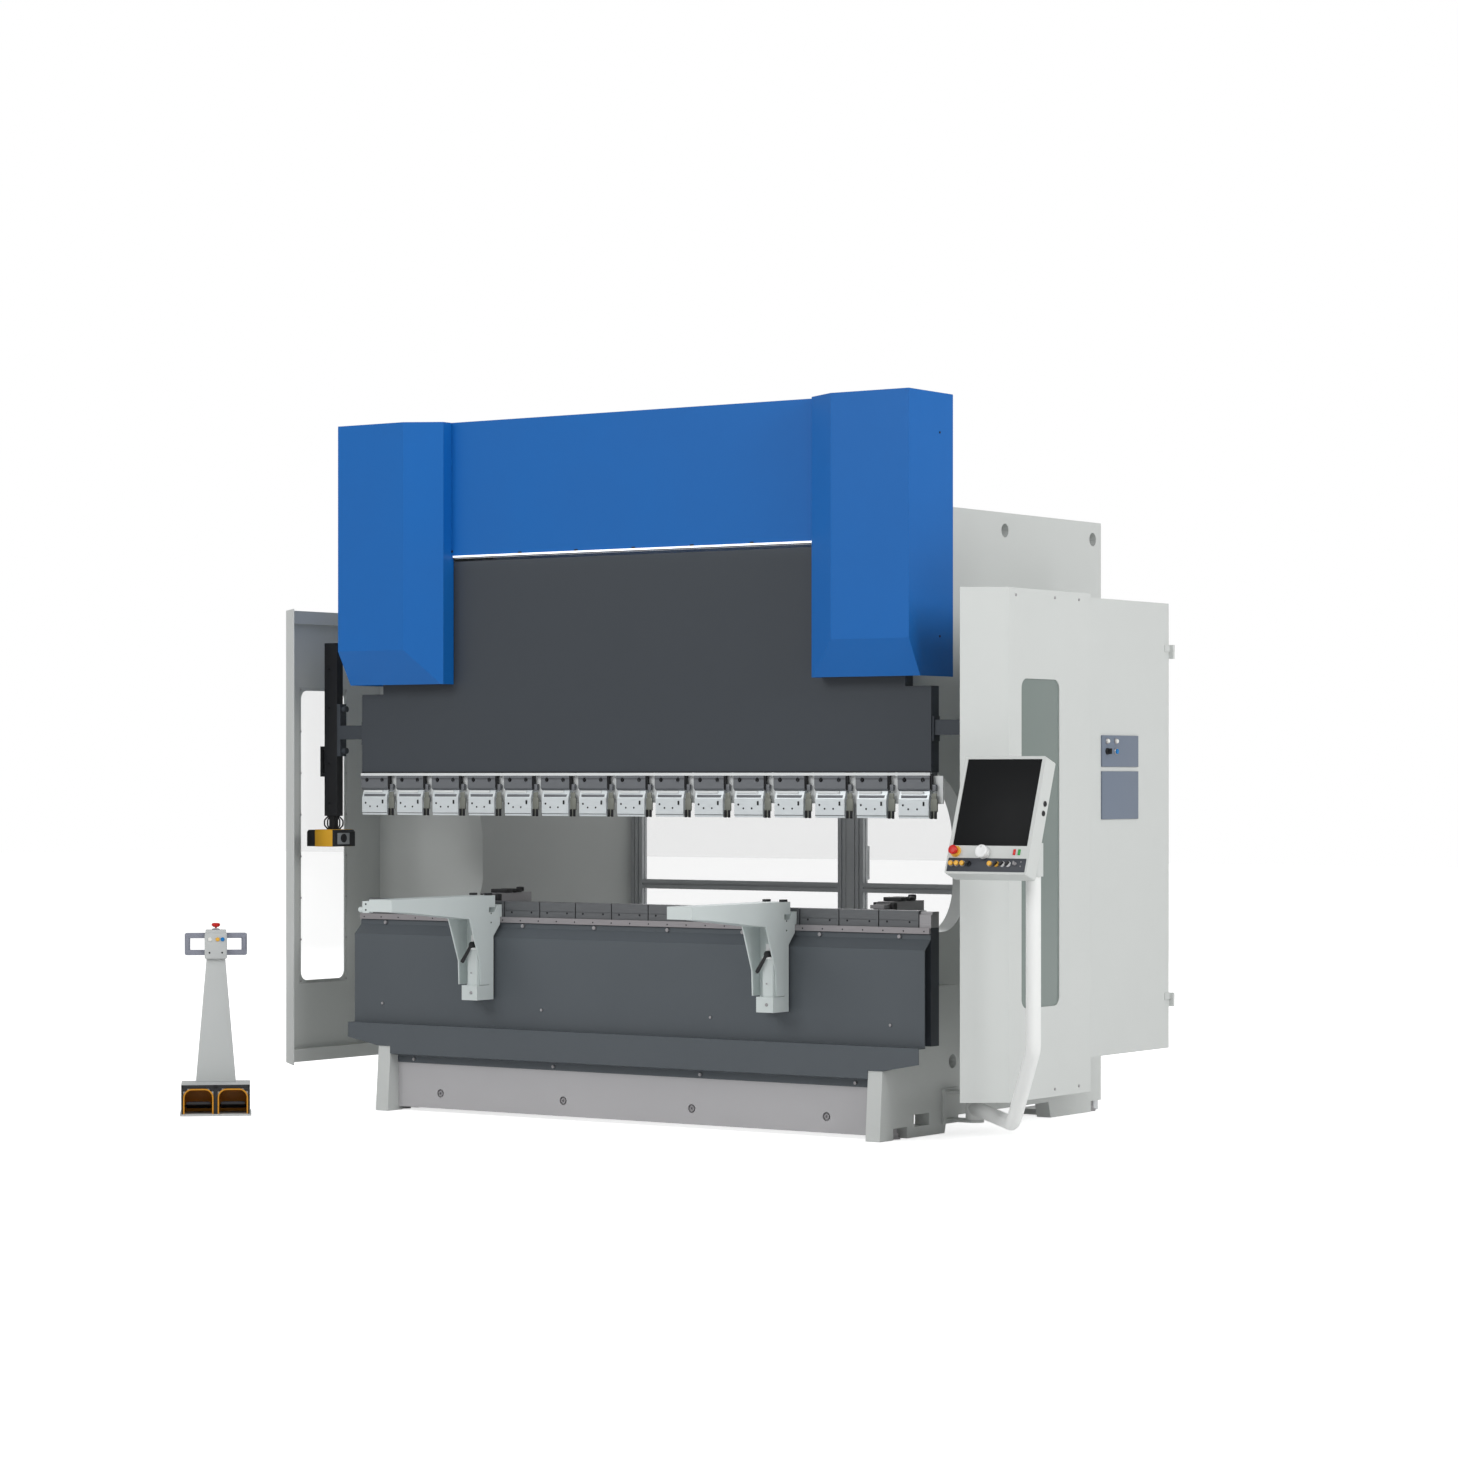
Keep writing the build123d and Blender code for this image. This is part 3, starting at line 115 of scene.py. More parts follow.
# The floor is a seamless sheet of white card, matt, and washed with light of its own, so that
# it only shows the soft shadow under the machine.
card = bpy.data.materials.new("white card")
card.use_nodes = True
sheet = card.node_tree.nodes["Principled BSDF"]
sheet.inputs["Base Color"].default_value = tone("FAFAFA")
sheet.inputs["Roughness"].default_value = 0.9
sheet.inputs["Emission Color"].default_value = tone("FFFFFF")
wash = add(card.node_tree, "ShaderNodeMath", {1: 0.68}, operation="MULTIPLY")
card.node_tree.links.new(add(card.node_tree, "ShaderNodeLightPath").outputs["Is Camera Ray"],
                         wash.inputs[0])
card.node_tree.links.new(wash.outputs["Value"], sheet.inputs["Emission Strength"])
bm = bmesh.new()
bmesh.ops.create_grid(bm, x_segments=2, y_segments=2, size=45)
floor_mesh = bpy.data.meshes.new("floor")
bm.to_mesh(floor_mesh)
bm.free()
floor = bpy.data.objects.new("floor", floor_mesh)
floor.location.z = -0.001
floor_mesh.materials.append(card)
scene.collection.objects.link(floor)

# ---------------------------------------------------------------- blue covers and front panel
# Bent sheet steel, 4 mm thick, powder coated in blue and screwed to the frames and the upper
# beam with small black button-head screws. The coat has a soft gloss and a faint orange peel.


def powder_coat(name, colour, shade, roughness):
    """Baked powder paint: a soft gloss over a fine orange peel, slightly cloudy in tone."""
    material = bpy.data.materials.new(name)
    material.use_nodes = True
    tree = material.node_tree
    surface = tree.nodes["Principled BSDF"]
    place = add(tree, "ShaderNodeTexCoord").outputs["Object"]
    cloud = add(tree, "ShaderNodeTexNoise", {"Vector": place, "Scale": 1 / 0.45, "Detail": 3})
    tint = add(tree, "ShaderNodeMixRGB", {"Fac": cloud.outputs["Fac"], "Color1": tone(colour),
                                          "Color2": tone(shade)})
    # Real orange peel is 1 to 2 mm across, drawn at 6 mm so that it shows.
    peel = add(tree, "ShaderNodeTexNoise", {"Vector": place, "Scale": 1 / 0.006, "Detail": 2})
    edge = add(tree, "ShaderNodeBevel", {"Radius": 0.0015}, samples=4)
    bump = add(tree, "ShaderNodeBump", {"Strength": 0.08, "Distance": 0.0006,
                                        "Height": peel.outputs["Fac"],
                                        "Normal": edge.outputs["Normal"]})
    gloss = add(tree, "ShaderNodeMapRange", {"Value": cloud.outputs["Fac"], "From Min": 0.3,
                                             "From Max": 0.7, "To Min": roughness - 0.05,
                                             "To Max": roughness + 0.05})
    tree.links.new(tint.outputs["Color"], surface.inputs["Base Color"])
    tree.links.new(gloss.outputs["Result"], surface.inputs["Roughness"])
    tree.links.new(bump.outputs["Normal"], surface.inputs["Normal"])
    surface.inputs["IOR"].default_value = 1.5
    surface.inputs["Specular IOR Level"].default_value = 0.3
    return material


def paint(material, *nodes):
    """Gives CAD nodes a material in place of the plain one."""
    for name in nodes:
        slots = frame["nodes"][name].data.materials
        slots.clear()
        slots.append(material)


def turned(bm, profile, foot, axis, steps=24):
    """A turned shape from (radius, height) pairs in mm, up from its foot along an axis."""
    turn = Vector((0, 0, 1)).rotation_difference(Vector(axis).normalized())
    rings = []
    for radius, height in profile:
        ring = []
        for i in range(steps):
            angle = 2 * math.pi * i / steps
            point = Vector((radius * math.cos(angle), radius * math.sin(angle), height))
            ring.append(bm.verts.new(Vector(foot) + turn @ point / 1000))
        rings.append(ring)
    for low, high in zip(rings, rings[1:]):
        for i in range(steps):
            j = (i + 1) % steps
            bm.faces.new((low[i], low[j], high[j], high[i]))
    bm.faces.new(list(reversed(rings[0])))
    bm.faces.new(rings[-1])


def soft_block(bm, low, high, edge=1.0, place=Matrix(), taper=1.0, round_y=0):
    """A block between two corners in metres, with edges rounded by some mm. taper narrows its
    top in x, and round_y rounds its edges along y by more."""
    made = bmesh.ops.create_cube(bm, size=1)["verts"]
    for vert in made:
        spot = Vector([(a + b) / 2 + c * (b - a) for a, b, c in zip(low, high, vert.co)])
        if vert.co.z > 0:
            middle = (low[0] + high[0]) / 2
            spot.x = middle + (spot.x - middle) * taper
        vert.co = spot
    edges = list({e for vert in made for e in vert.link_edges})
    if round_y:
        along = [e for e in edges if abs((e.verts[0].co - e.verts[1].co).y) > 1e-6]
        grown = bmesh.ops.bevel(bm, geom=along, offset=round_y / 1000, segments=8,
                                profile=0.5, affect="EDGES")
        made = list({v for v in made if v.is_valid} | {v for v in grown["verts"]})
        edges = list({e for vert in made for e in vert.link_edges})
    bevelled = bmesh.ops.bevel(bm, geom=edges, offset=edge / 1000, segments=2, profile=0.6,
                               affect="EDGES", clamp_overlap=True)
    whole = {v for v in made if v.is_valid} | set(bevelled["verts"])
    for vert in whole:
        vert.co = place @ vert.co


def fitted(bm, name, body, material, slot, *replaced):
    """Ends a piece: smooth shading, material, the body it rides on and what it stands for."""
    bmesh.ops.recalc_face_normals(bm, faces=bm.faces)
    mesh = bpy.data.meshes.new(name)
    bm.to_mesh(mesh)
    bm.free()
    mesh.polygons.foreach_set("use_smooth", [True] * len(mesh.polygons))
    mesh.set_sharp_from_angle(angle=math.radians(35))
    mesh.materials.append(material)
    piece = bpy.data.objects.new(name, mesh)
    scene.collection.objects.link(piece)
    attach(piece, body)
    if replaced:
        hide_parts(*replaced)
    return piece


blue_coat = powder_coat("blue powder coat", "1067B6", "0E62AF", 0.42)
paint(blue_coat, "corner_cover_left", "corner_cover_right", "beam_panel")


def black_oxide():
    """Screws blackened in hot salts: near black, with a dull metal glint."""
    material = bpy.data.materials.new("black oxide screw steel")
    material.use_nodes = True
    tree = material.node_tree
    surface = tree.nodes["Principled BSDF"]
    place = add(tree, "ShaderNodeTexCoord").outputs["Object"]
    grain = add(tree, "ShaderNodeTexNoise", {"Vector": place, "Scale": 1 / 0.003, "Detail": 2})
    tint = add(tree, "ShaderNodeMixRGB", {"Fac": grain.outputs["Fac"],
                                          "Color1": tone("1B1C1E"), "Color2": tone("2C2D30")})
    tree.links.new(tint.outputs["Color"], surface.inputs["Base Color"])
    surface.inputs["Metallic"].default_value = 0.6
    surface.inputs["Roughness"].default_value = 0.42
    return material


screw_black = black_oxide()


def socket_screw(bm, foot, axis, head=5.0, height=3.0):
    """Button head with a hexagon socket."""
    turned(bm, [(head, 0), (head, height * 0.35), (head * 0.8, height * 0.85), (head * 0.5, height)],
           foot, axis, 20)
    tip = Vector(foot) + Vector(axis).normalized() * height / 1000
    turned(bm, [(head * 0.42, 0), (head * 0.42, 0.25), (head * 0.2, 0.3)], tip, axis, 6)


low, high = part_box("corner_cover_right")
bm = bmesh.new()
for side in (-1, 1):
    for y, z in ((high.y - 0.105, low.z + 0.165), (high.y - 0.105, high.z - 0.165)):
        socket_screw(bm, (side * high.x, y, z), (side, 0, 0))
panel_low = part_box("beam_panel")[0]
socket_screw(bm, (-0.985, panel_low.y, panel_low.z + 0.020), (0, -1, 0), 6)
fitted(bm, "cover_screws", "frame", screw_black, "black_metal")

# The front panel hangs on a row of small hooks that show as dark tabs along its lower edge.
low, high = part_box("beam_panel")
bm = bmesh.new()
hook_pitch = 0.311
for i in range(5):
    x = 0.022 + (i - 2) * hook_pitch
    soft_block(bm, (x - 0.009, low.y - 0.0025, low.z - 0.004), (x + 0.009, low.y + 0.004, low.z + 0.007))
fitted(bm, "panel_tabs", "frame", screw_black, "black_metal")

# ---------------------------------------------------------------- light bar
# A row of white diodes behind a milky acrylic diffuser in the panel's lower edge.
diffuser = bpy.data.materials.new("lit acrylic diffuser")
diffuser.use_nodes = True
tree = diffuser.node_tree
surface = tree.nodes["Principled BSDF"]
place = add(tree, "ShaderNodeTexCoord").outputs["Object"]
# Diodes stand 60 mm apart and show as a faint brightening of the bar.
diodes = add(tree, "ShaderNodeTexWave", {"Vector": place, "Scale": 1 / 0.06 / 6.2832,
                                         "Distortion": 0}, bands_direction="X")
glow = add(tree, "ShaderNodeMixRGB", {"Fac": diodes.outputs["Fac"], "Color1": tone("E9F2FF"),
                                      "Color2": tone("FFFFFF")})
tree.links.new(glow.outputs["Color"], surface.inputs["Emission Color"])
surface.inputs["Emission Strength"].default_value = 1.0
surface.inputs["Roughness"].default_value = 0.3
paint(diffuser, "led_strip")
low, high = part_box("led_strip")
bm = bmesh.new()
soft_block(bm, (low.x, low.y - 0.0015, low.z - 0.0005), (high.x, low.y + 0.001, high.z - 0.008), 0.4)
fitted(bm, "led_channel", "frame", screw_black, "black_metal")

# ---------------------------------------------------------------- frames, ties and foot parts
# Flame-cut and welded steel plate, shot-blasted and coated in light grey. The plates are
# 70 mm thick and stand on screwed jacks and anchor plates.
grey_coat = powder_coat("light grey powder coat", "CFD2D0", "CACDCB", 0.42)
paint(grey_coat, "side_frame_left", "side_frame_right", "cross_ties", "foot_plates", "upper_beam",
      "guard_left", "guard_right", "cabinet", "cabinet_door", "console", "pendant_bracket")
base_coat = powder_coat("pale grey enamel", "BCBBBD", "B6B5B7", 0.45)
paint(base_coat, "base_beam")


def bare_steel(name, colour, shade, roughness, grain_mm, metallic=0.6):
    """Ground steel under a film of oil: fine lengthwise grain and a broad, dull highlight."""
    material = bpy.data.materials.new(name)
    material.use_nodes = True
    tree = material.node_tree
    surface = tree.nodes["Principled BSDF"]
    place = add(tree, "ShaderNodeTexCoord").outputs["Object"]
    stretched = add(tree, "ShaderNodeMapping", {"Vector": place, "Scale": (0.06, 1, 1)})
    grain = add(tree, "ShaderNodeTexNoise", {"Vector": stretched.outputs["Vector"],
                                             "Scale": 1000 / grain_mm, "Detail": 4})
    tint = add(tree, "ShaderNodeMixRGB", {"Fac": grain.outputs["Fac"], "Color1": tone(shade),
                                          "Color2": tone(colour)})
    gloss = add(tree, "ShaderNodeMapRange", {"Value": grain.outputs["Fac"], "From Min": 0.3,
                                             "From Max": 0.7, "To Min": roughness - 0.08,
                                             "To Max": roughness + 0.08})
    edge = add(tree, "ShaderNodeBevel", {"Radius": 0.001}, samples=4)
    bump = add(tree, "ShaderNodeBump", {"Strength": 0.1, "Distance": 0.0004,
                                        "Height": grain.outputs["Fac"],
                                        "Normal": edge.outputs["Normal"]})
    tree.links.new(tint.outputs["Color"], surface.inputs["Base Color"])
    tree.links.new(gloss.outputs["Result"], surface.inputs["Roughness"])
    tree.links.new(bump.outputs["Normal"], surface.inputs["Normal"])
    surface.inputs["Metallic"].default_value = metallic
    return material


# Grinding marks are about 0.3 mm wide, drawn at 3 mm so that they show.
ground_steel = bare_steel("ground machine steel", "B4B2B3", "98969A", 0.42, 3)
paint(ground_steel, "end_blocks", "levelling_jacks", "panel_fasteners", "gauge_rails",
      "gauge_lift", "gauge_finger_left", "gauge_finger_right", "piston_rods")
rail_steel = bare_steel("ground rail steel", "A8A4A6", "949093", 0.45, 3)
paint(rail_steel, "table_rail")

# ---------------------------------------------------------------- ram, table and apron
# The ram and the table are thick rolled plates, and the apron is folded sheet in front of the
# table. All three are painted anthracite, with a satin two-part enamel.
# The ram and the table take a darker copy of the anthracite than the apron: painted shade, for the shadow
# that the covers cast on the ram.
anthracite = powder_coat("anthracite enamel", "41464C", "3D4248", 0.45)
apron_coat = powder_coat("apron anthracite enamel", "5B6166", "565C61", 0.45)
paint(anthracite, "ram", "table", "ram_brackets")
paint(apron_coat, "apron")

# A bright strip runs in front of the clamps' heads, with a black seal above it.
low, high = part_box("ram")
head_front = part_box("clamp_blocks")[0].y
white_paint_and_slit_light = powder_coat("white enamel and painted slit light", "E4E7E7", "DCDFDF", 0.35)
bm = bmesh.new()
soft_block(bm, (low.x, head_front - 0.0015, low.z - 0.013),
           (high.x, head_front + 0.012, low.z - 0.001), 0.6)
fitted(bm, "ram_edge_strip", "ram", white_paint_and_slit_light, "machined_steel")
bm = bmesh.new()
soft_block(bm, (low.x, low.y - 0.0015, low.z), (high.x, low.y + 0.001, low.z + 0.005), 0.4)
fitted(bm, "ram_edge_seal", "ram", screw_black, "black_metal")

# ---------------------------------------------------------------- punch clamps
# Each clamp is a dark adapter block screwed to the ram and a nickel-plated jaw below it, with
# set screws, dark seams and a flat grey lever at its right side. A bright strip between block and
# jaw is painted light, and dark strips on the jaw's shoulder and the block's right side are painted shade.
clamp_steel_and_shoulder_shade = bare_steel("blackened clamp steel and painted shoulder shade", "7E8185", "6C6F73", 0.45, 3)
nickel = bare_steel("nickel plated jaw", "E6ECEE", "D6DCDF", 0.4, 3)
lever_steel = bare_steel("phosphated lever steel", "85877F", "787A73", 0.5, 3)
paint(clamp_steel_and_shoulder_shade, "clamp_blocks")
paint(nickel, "clamp_jaws")
clamp_count = 15
pitch = 0.2065
jaw_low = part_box("clamp_jaws")[0]
block_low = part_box("clamp_blocks")[0]
front = jaw_low.y
clamp_places = [(i - clamp_count // 2) * pitch for i in range(clamp_count)]


def clamp_plate(bm, x, low, high, edge=0.8):
    """A small block on one clamp, from corners given as metres right of its middle, behind the
    jaw's front and above the jaw's foot."""
    soft_block(bm, (x + low[0], front + low[1], jaw_low.z + low[2]),
               (x + high[0], front + high[1], jaw_low.z + high[2]), edge)


# Two cap screws hold the block. Three set screws, a long nose and dark seams show on the jaw.
bm = bmesh.new()
for x in clamp_places:
    for offset in (-0.0495, 0.0495):
        socket_screw(bm, (x + offset, block_low.y + 0.008, block_low.z + 0.046), (0, -1, 0), 8, 6)
    socket_screw(bm, (x - 0.052, front, jaw_low.z + 0.054), (0, -1, 0), 4.6, 2.2)
    for offset in (-0.026, 0.017):
        socket_screw(bm, (x + offset, front, jaw_low.z + 0.038), (0, -1, 0), 4.2, 1.8)
    clamp_plate(bm, x, (0.0445, -0.003, 0.051), (0.0525, 0.002, 0.069), 2)
    clamp_plate(bm, x, (-0.073, -0.0008, 0.0085), (0.073, 0.001, 0.0105), 0.3)
    clamp_plate(bm, x, (-0.078, -0.0008, 0.162), (0.078, 0.001, 0.1645), 0.3)
    for left in (0.082, 0.101):
        clamp_plate(bm, x, (left, -0.002, -0.002), (left + 0.009, 0.006, 0.030))
    # Painted shade: a black strip for the shaded right side face of the block.
    clamp_plate(bm, x, (0.0782, 0.004, 0.115), (0.087, 0.014, 0.183))
fitted(bm, "clamp_screws_and_side_shade", "ram", screw_black, "black_metal")

# A dark bar on the jaw's sloped shoulder is painted shade, and a bright strip above it is painted
# light, where the backdrop shows through the gap between block and jaw. A light spacer plate stands
# behind each lever; the last one on the right stands past the ram's end.
bm = bmesh.new()
for x in clamp_places:
    # Painted shade: a dark bar on the jaw's upward sloped shoulder.
    clamp_plate(bm, x, (-0.062, 0.0015, 0.083), (0.062, 0.008, 0.095))
    clamp_plate(bm, x, (0.0782, 0.006, 0.113), (0.103, 0.020, 0.140), 2)
fitted(bm, "clamp_shoulder_shade_and_latches", "ram", clamp_steel_and_shoulder_shade, "clamp_grey")
bm = bmesh.new()
for x in clamp_places:
    # Painted light: a white strip where the backdrop shows through the gap between block and jaw.
    clamp_plate(bm, x, (-0.064, 0.004, 0.101), (0.044, 0.012, 0.111))
    clamp_plate(bm, x, (0.080, 0.026, 0.060), (0.127, 0.032, 0.176))
fitted(bm, "clamp_slit_light_and_spacers", "ram", white_paint_and_slit_light, "clamp_grey")

# A flat lever beside each jaw turns its wedge. Its lower end is cut to a point.
bm = bmesh.new()
for x in clamp_places:
    clamp_plate(bm, x, (0.080, 0.003, 0.026), (0.113, 0.010, 0.080), 3)
    clamp_plate(bm, x, (0.083, 0.0035, 0.074), (0.108, 0.0095, 0.104), 5)
    clamp_plate(bm, x, (0.088, 0.0035, 0.000), (0.104, 0.0095, 0.030), 4)
fitted(bm, "clamp_levers", "ram", lever_steel, "clamp_grey")

# ---------------------------------------------------------------- die holders
# A row of hardened blocks along the table, each with two side screws and a ground top.
holder_steel = bare_steel("hardened die holder steel", "77797B", "626467", 0.42, 3)
paint(holder_steel, "die_holders")
low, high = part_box("die_holders")
bm = bmesh.new()
holder_count = 15
holder_pitch = 0.197
for i in range(holder_count):
    x = high.x - holder_pitch / 2 - holder_pitch * i
    for offset in (-0.055, 0.055):
        socket_screw(bm, (x + offset, low.y, low.z + 0.022), (0, -1, 0), 4.5, 2)
fitted(bm, "holder_screws", "frame", screw_black, "black_metal")
low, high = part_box("table_rail")
bm = bmesh.new()
rail_screw_count = 31
rail_screw_pitch = 0.1
for i in range(rail_screw_count):
    turned(bm, [(3.4, 0), (3.4, 0.1), (2.2, 0.15)],
           (low.x + 0.026 + i * rail_screw_pitch, low.y, (low.z + high.z) / 2 - 0.002), (0, -1, 0), 16)
fitted(bm, "rail_screws", "frame", screw_black, "black_metal")

# ---------------------------------------------------------------- laser guard carriers
# A black anodised column on each ram bracket holds a laser head by four short leads. The head
# is a black casting with a yellow cover in its middle and a grey recessed lens.
anodised = powder_coat("black anodised aluminium", "26272A", "1E1F21", 0.45)
paint(anodised, "laser_left", "laser_right")
cover_yellow = powder_coat("yellow moulded cover", "D8A52C", "CE9A26", 0.4)
lens_grey = powder_coat("grey lens housing", "8E9294", "7C8082", 0.3)
head_height = 0.076
for side, inner in (("left", 1), ("right", -1)):
    low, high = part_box(f"laser_{side}")
    inner_x, outer_x = (high.x, low.x) if side == "left" else (low.x, high.x)
    cover = sorted((outer_x + inner * 0.048, outer_x + inner * 0.154))
    head_top = low.z + head_height
    bm = bmesh.new()
    soft_block(bm, (cover[0], low.y - 0.0015, low.z - 0.001),
               (cover[1], high.y + 0.0015, head_top + 0.0015), 3)
    fitted(bm, f"laser_cover_{side}", f"laser_{side}", cover_yellow, "yellow_plastic")
    bm = bmesh.new()
    plate = sorted((inner_x - inner * 0.002, inner_x + inner * 0.0015))
    soft_block(bm, (plate[0], low.y + 0.017, low.z + 0.010),
               (plate[1], low.y + 0.101, head_top - 0.014), 1.2)
    fitted(bm, f"laser_plate_{side}", f"laser_{side}", lens_grey, "black_metal")
    bm = bmesh.new()
    turned(bm, [(20, 0), (20, 3), (17, 3.5), (15, 1.5), (0.5, 1.2)],
           (inner_x + inner * 0.001, low.y + 0.059, low.z + head_height / 2), (inner, 0, 0), 32)
    for z in (low.z + 0.20, low.z + 0.38, high.z - 0.30, high.z - 0.12):
        socket_screw(bm, ((low.x + high.x) / 2, low.y + 0.054, z), (0, -1, 0), 4.5, 3)
    fitted(bm, f"laser_lens_{side}", f"laser_{side}", screw_black, "black_metal")

# ---------------------------------------------------------------- sheet supports
# Each support hooks onto the table rail and slides along it. Carriage and arm are folded and
# welded sheet, coated in a pale mint grey, and a lever clamps the arm at its height.
mint_coat = powder_coat("mint grey powder coat", "D6DEDD", "CFD7D6", 0.42)
white_cap = powder_coat("white moulded plastic", "F0F1F1", "E8E9E9", 0.35)
paint(mint_coat, "support_carriage_left", "support_carriage_right", "support_arm_left",
      "support_arm_right")


def moulded_black():
    """Glass-filled nylon: black, finely pebbled and dull."""
    material = bpy.data.materials.new("black moulded nylon")
    material.use_nodes = True
    tree = material.node_tree
    surface = tree.nodes["Principled BSDF"]
    place = add(tree, "ShaderNodeTexCoord").outputs["Object"]
    # The mould's pebbling is 0.4 mm, drawn at 1.5 mm so that it shows.
    pebble = add(tree, "ShaderNodeTexVoronoi", {"Vector": place, "Scale": 1 / 0.0015})
    tint = add(tree, "ShaderNodeMixRGB", {"Fac": pebble.outputs["Distance"],
                                          "Color1": tone("17181A"), "Color2": tone("232427")})
    bump = add(tree, "ShaderNodeBump", {"Strength": 0.25, "Distance": 0.0003,
                                        "Height": pebble.outputs["Distance"]})
    tree.links.new(tint.outputs["Color"], surface.inputs["Base Color"])
    tree.links.new(bump.outputs["Normal"], surface.inputs["Normal"])
    surface.inputs["Roughness"].default_value = 0.55
    return material


nylon = moulded_black()
for side in ("left", "right"):
    low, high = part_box(f"support_carriage_{side}")
    lever_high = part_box(f"arm_lever_{side}")[1]
    hub = Vector((high.x - 0.035, lever_high.y, 0.762))
    bm = bmesh.new()
    turned(bm, [(14, 0), (15.5, 2), (15.5, 18), (12, 23), (7, 26)], hub, (0, -1, 0), 32)
    grip_end = Vector((hub.x - 0.042, hub.y - 0.034, 0.684))
    reach = grip_end - (hub + Vector((0, -0.020, 0)))
    length = reach.length * 1000
    turned(bm, [(7, 0), (7, length * 0.3), (8, length * 0.6), (9, length * 0.9), (7, length * 0.98),
                (2, length)], hub + Vector((0, -0.020, 0)), reach, 20)
    fitted(bm, f"clamp_lever_{side}", f"arm_lever_{side}", nylon, "black_plastic",
           f"arm_lever_{side}")
    bm = bmesh.new()
    post_left, post_right = high.x - 0.058, high.x - 0.008
    soft_block(bm, (post_left - 0.0005, low.y + 0.001, 0.742),
               (post_right + 0.0005, low.y + 0.050, 0.752), 4)
    soft_block(bm, (post_left + 0.006, hub.y, 0.746), (post_right - 0.006, hub.y + 0.004, 0.806), 2)
    fitted(bm, f"post_cap_{side}", f"support_carriage_{side}", white_cap, "white_plastic")
    bm = bmesh.new()
    socket_screw(bm, ((post_left + post_right) / 2, low.y - 0.0005, 0.552), (0, -1, 0), 7, 5)
    socket_screw(bm, ((post_left + post_right) / 2, low.y, 0.640), (0, -1, 0), 4, 2)
    fitted(bm, f"post_bolts_{side}", f"support_carriage_{side}", ground_steel, "machined_steel")
    arm_low, arm_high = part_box(f"support_arm_{side}")
    arm_left = high.x - 0.125
    bm = bmesh.new()
    for x in (arm_left + 0.02, high.x - 0.02):
        soft_block(bm, (x - 0.012, arm_high.y - 0.038, arm_high.z - 0.001),
                   (x + 0.012, arm_high.y - 0.008, arm_high.z + 0.010), 2)
    fitted(bm, f"arm_clips_{side}", f"support_arm_{side}", nylon, "black_plastic")
    bm = bmesh.new()
    if side == "left":
        for z in (0.932, 0.957):
            turned(bm, [(4, 0), (4, 1), (3, 1.5)], (arm_low.x + 0.043, arm_low.y, z), (0, -1, 0), 16)
    for z in (0.90, 0.86):
        socket_screw(bm, (high.x, low.y + 0.10, z), (1, 0, 0), 3.5, 2)
    fitted(bm, f"arm_dots_{side}", f"support_arm_{side}", screw_black, "black_metal")

# ---------------------------------------------------------------- side guards and their panes
# Folded sheet guards stand on both sides. Each has a long window with a 5 mm polycarbonate
# pane behind it, smoke grey on the right and clear on the left, held by domed screws.


def clear_plastic(name, colour, through, roughness):
    """Extruded polycarbonate: clear or smoke grey, with a hard gloss and faint ripples."""
    material = bpy.data.materials.new(name)
    material.use_nodes = True
    tree = material.node_tree
    surface = tree.nodes["Principled BSDF"]
    place = add(tree, "ShaderNodeTexCoord").outputs["Object"]
    ripple = add(tree, "ShaderNodeTexNoise", {"Vector": place, "Scale": 1 / 0.2, "Detail": 1})
    bump = add(tree, "ShaderNodeBump", {"Strength": 0.02, "Distance": 0.001,
                                        "Height": ripple.outputs["Fac"]})
    tree.links.new(bump.outputs["Normal"], surface.inputs["Normal"])
    surface.inputs["Base Color"].default_value = tone(colour)
    surface.inputs["Roughness"].default_value = roughness
    surface.inputs["IOR"].default_value = 1.58
    surface.inputs["Alpha"].default_value = through
    return material


smoke_pane = clear_plastic("smoke grey polycarbonate", "7F8A86", 0.92, 0.12)
clear_pane = clear_plastic("clear polycarbonate", "F2F5F4", 0.12, 0.04)
pane_low, pane_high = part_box("guard_windows")
for side, sign, material in (("right", 1, smoke_pane), ("left", -1, clear_pane)):
    bm = bmesh.new()
    x0, x1 = sorted((sign * pane_high.x, sign * (pane_high.x - 0.005)))
    soft_block(bm, (x0, pane_low.y, pane_low.z), (x1, pane_high.y, pane_high.z), 0.8)
    replaced = ["guard_windows"] if side == "right" else []
    fitted(bm, f"pane_{side}", "frame", material, "tinted_pane", *replaced)
bm = bmesh.new()
inside = pane_high.x - 0.005
for i in range(8):
    z = pane_low.z + 0.012 + i * (pane_high.z - pane_low.z - 0.024) / 7
    for y in (pane_low.y + 0.008, pane_high.y - 0.008):
        for sign in (-1, 1):
            turned(bm, [(5, 0), (5, 1), (3.5, 2.6), (1, 3)], (sign * inside, y, z), (-sign, 0, 0), 16)
fitted(bm, "pane_screws", "frame", ground_steel, "machined_steel")

# Bolts hold the guards' stiffening rails, and show as small dark heads on the outside.
bm = bmesh.new()
guard_low, guard_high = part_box("guard_right")
for sign in (-1, 1):
    for z in (guard_low.z + 0.03, guard_high.z - 0.03):
        for y in (guard_low.y + 0.18, guard_high.y - 0.30, guard_high.y - 0.10):
            turned(bm, [(6, 0), (6, 2), (4, 3.6), (1, 4)], (sign * guard_high.x, y, z), (sign, 0, 0), 16)
fitted(bm, "guard_bolts", "frame", ground_steel, "machined_steel")

# ---------------------------------------------------------------- electrical cabinet
# A sheet-steel cabinet hangs behind the right guard. Its door carries two slate plates, with
# push buttons, a key switch and a blue lamp on the upper one.
slate_coat = powder_coat("slate blue enamel", "76808F", "707A89", 0.4)
button_white = powder_coat("white button plastic", "EDEDE8", "E5E5E0", 0.25)
button_blue = powder_coat("blue button plastic", "1E7FC4", "1873B6", 0.25)
door_low, door_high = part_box("cabinet_door")
face = door_low.x + 0.020 + 0.006
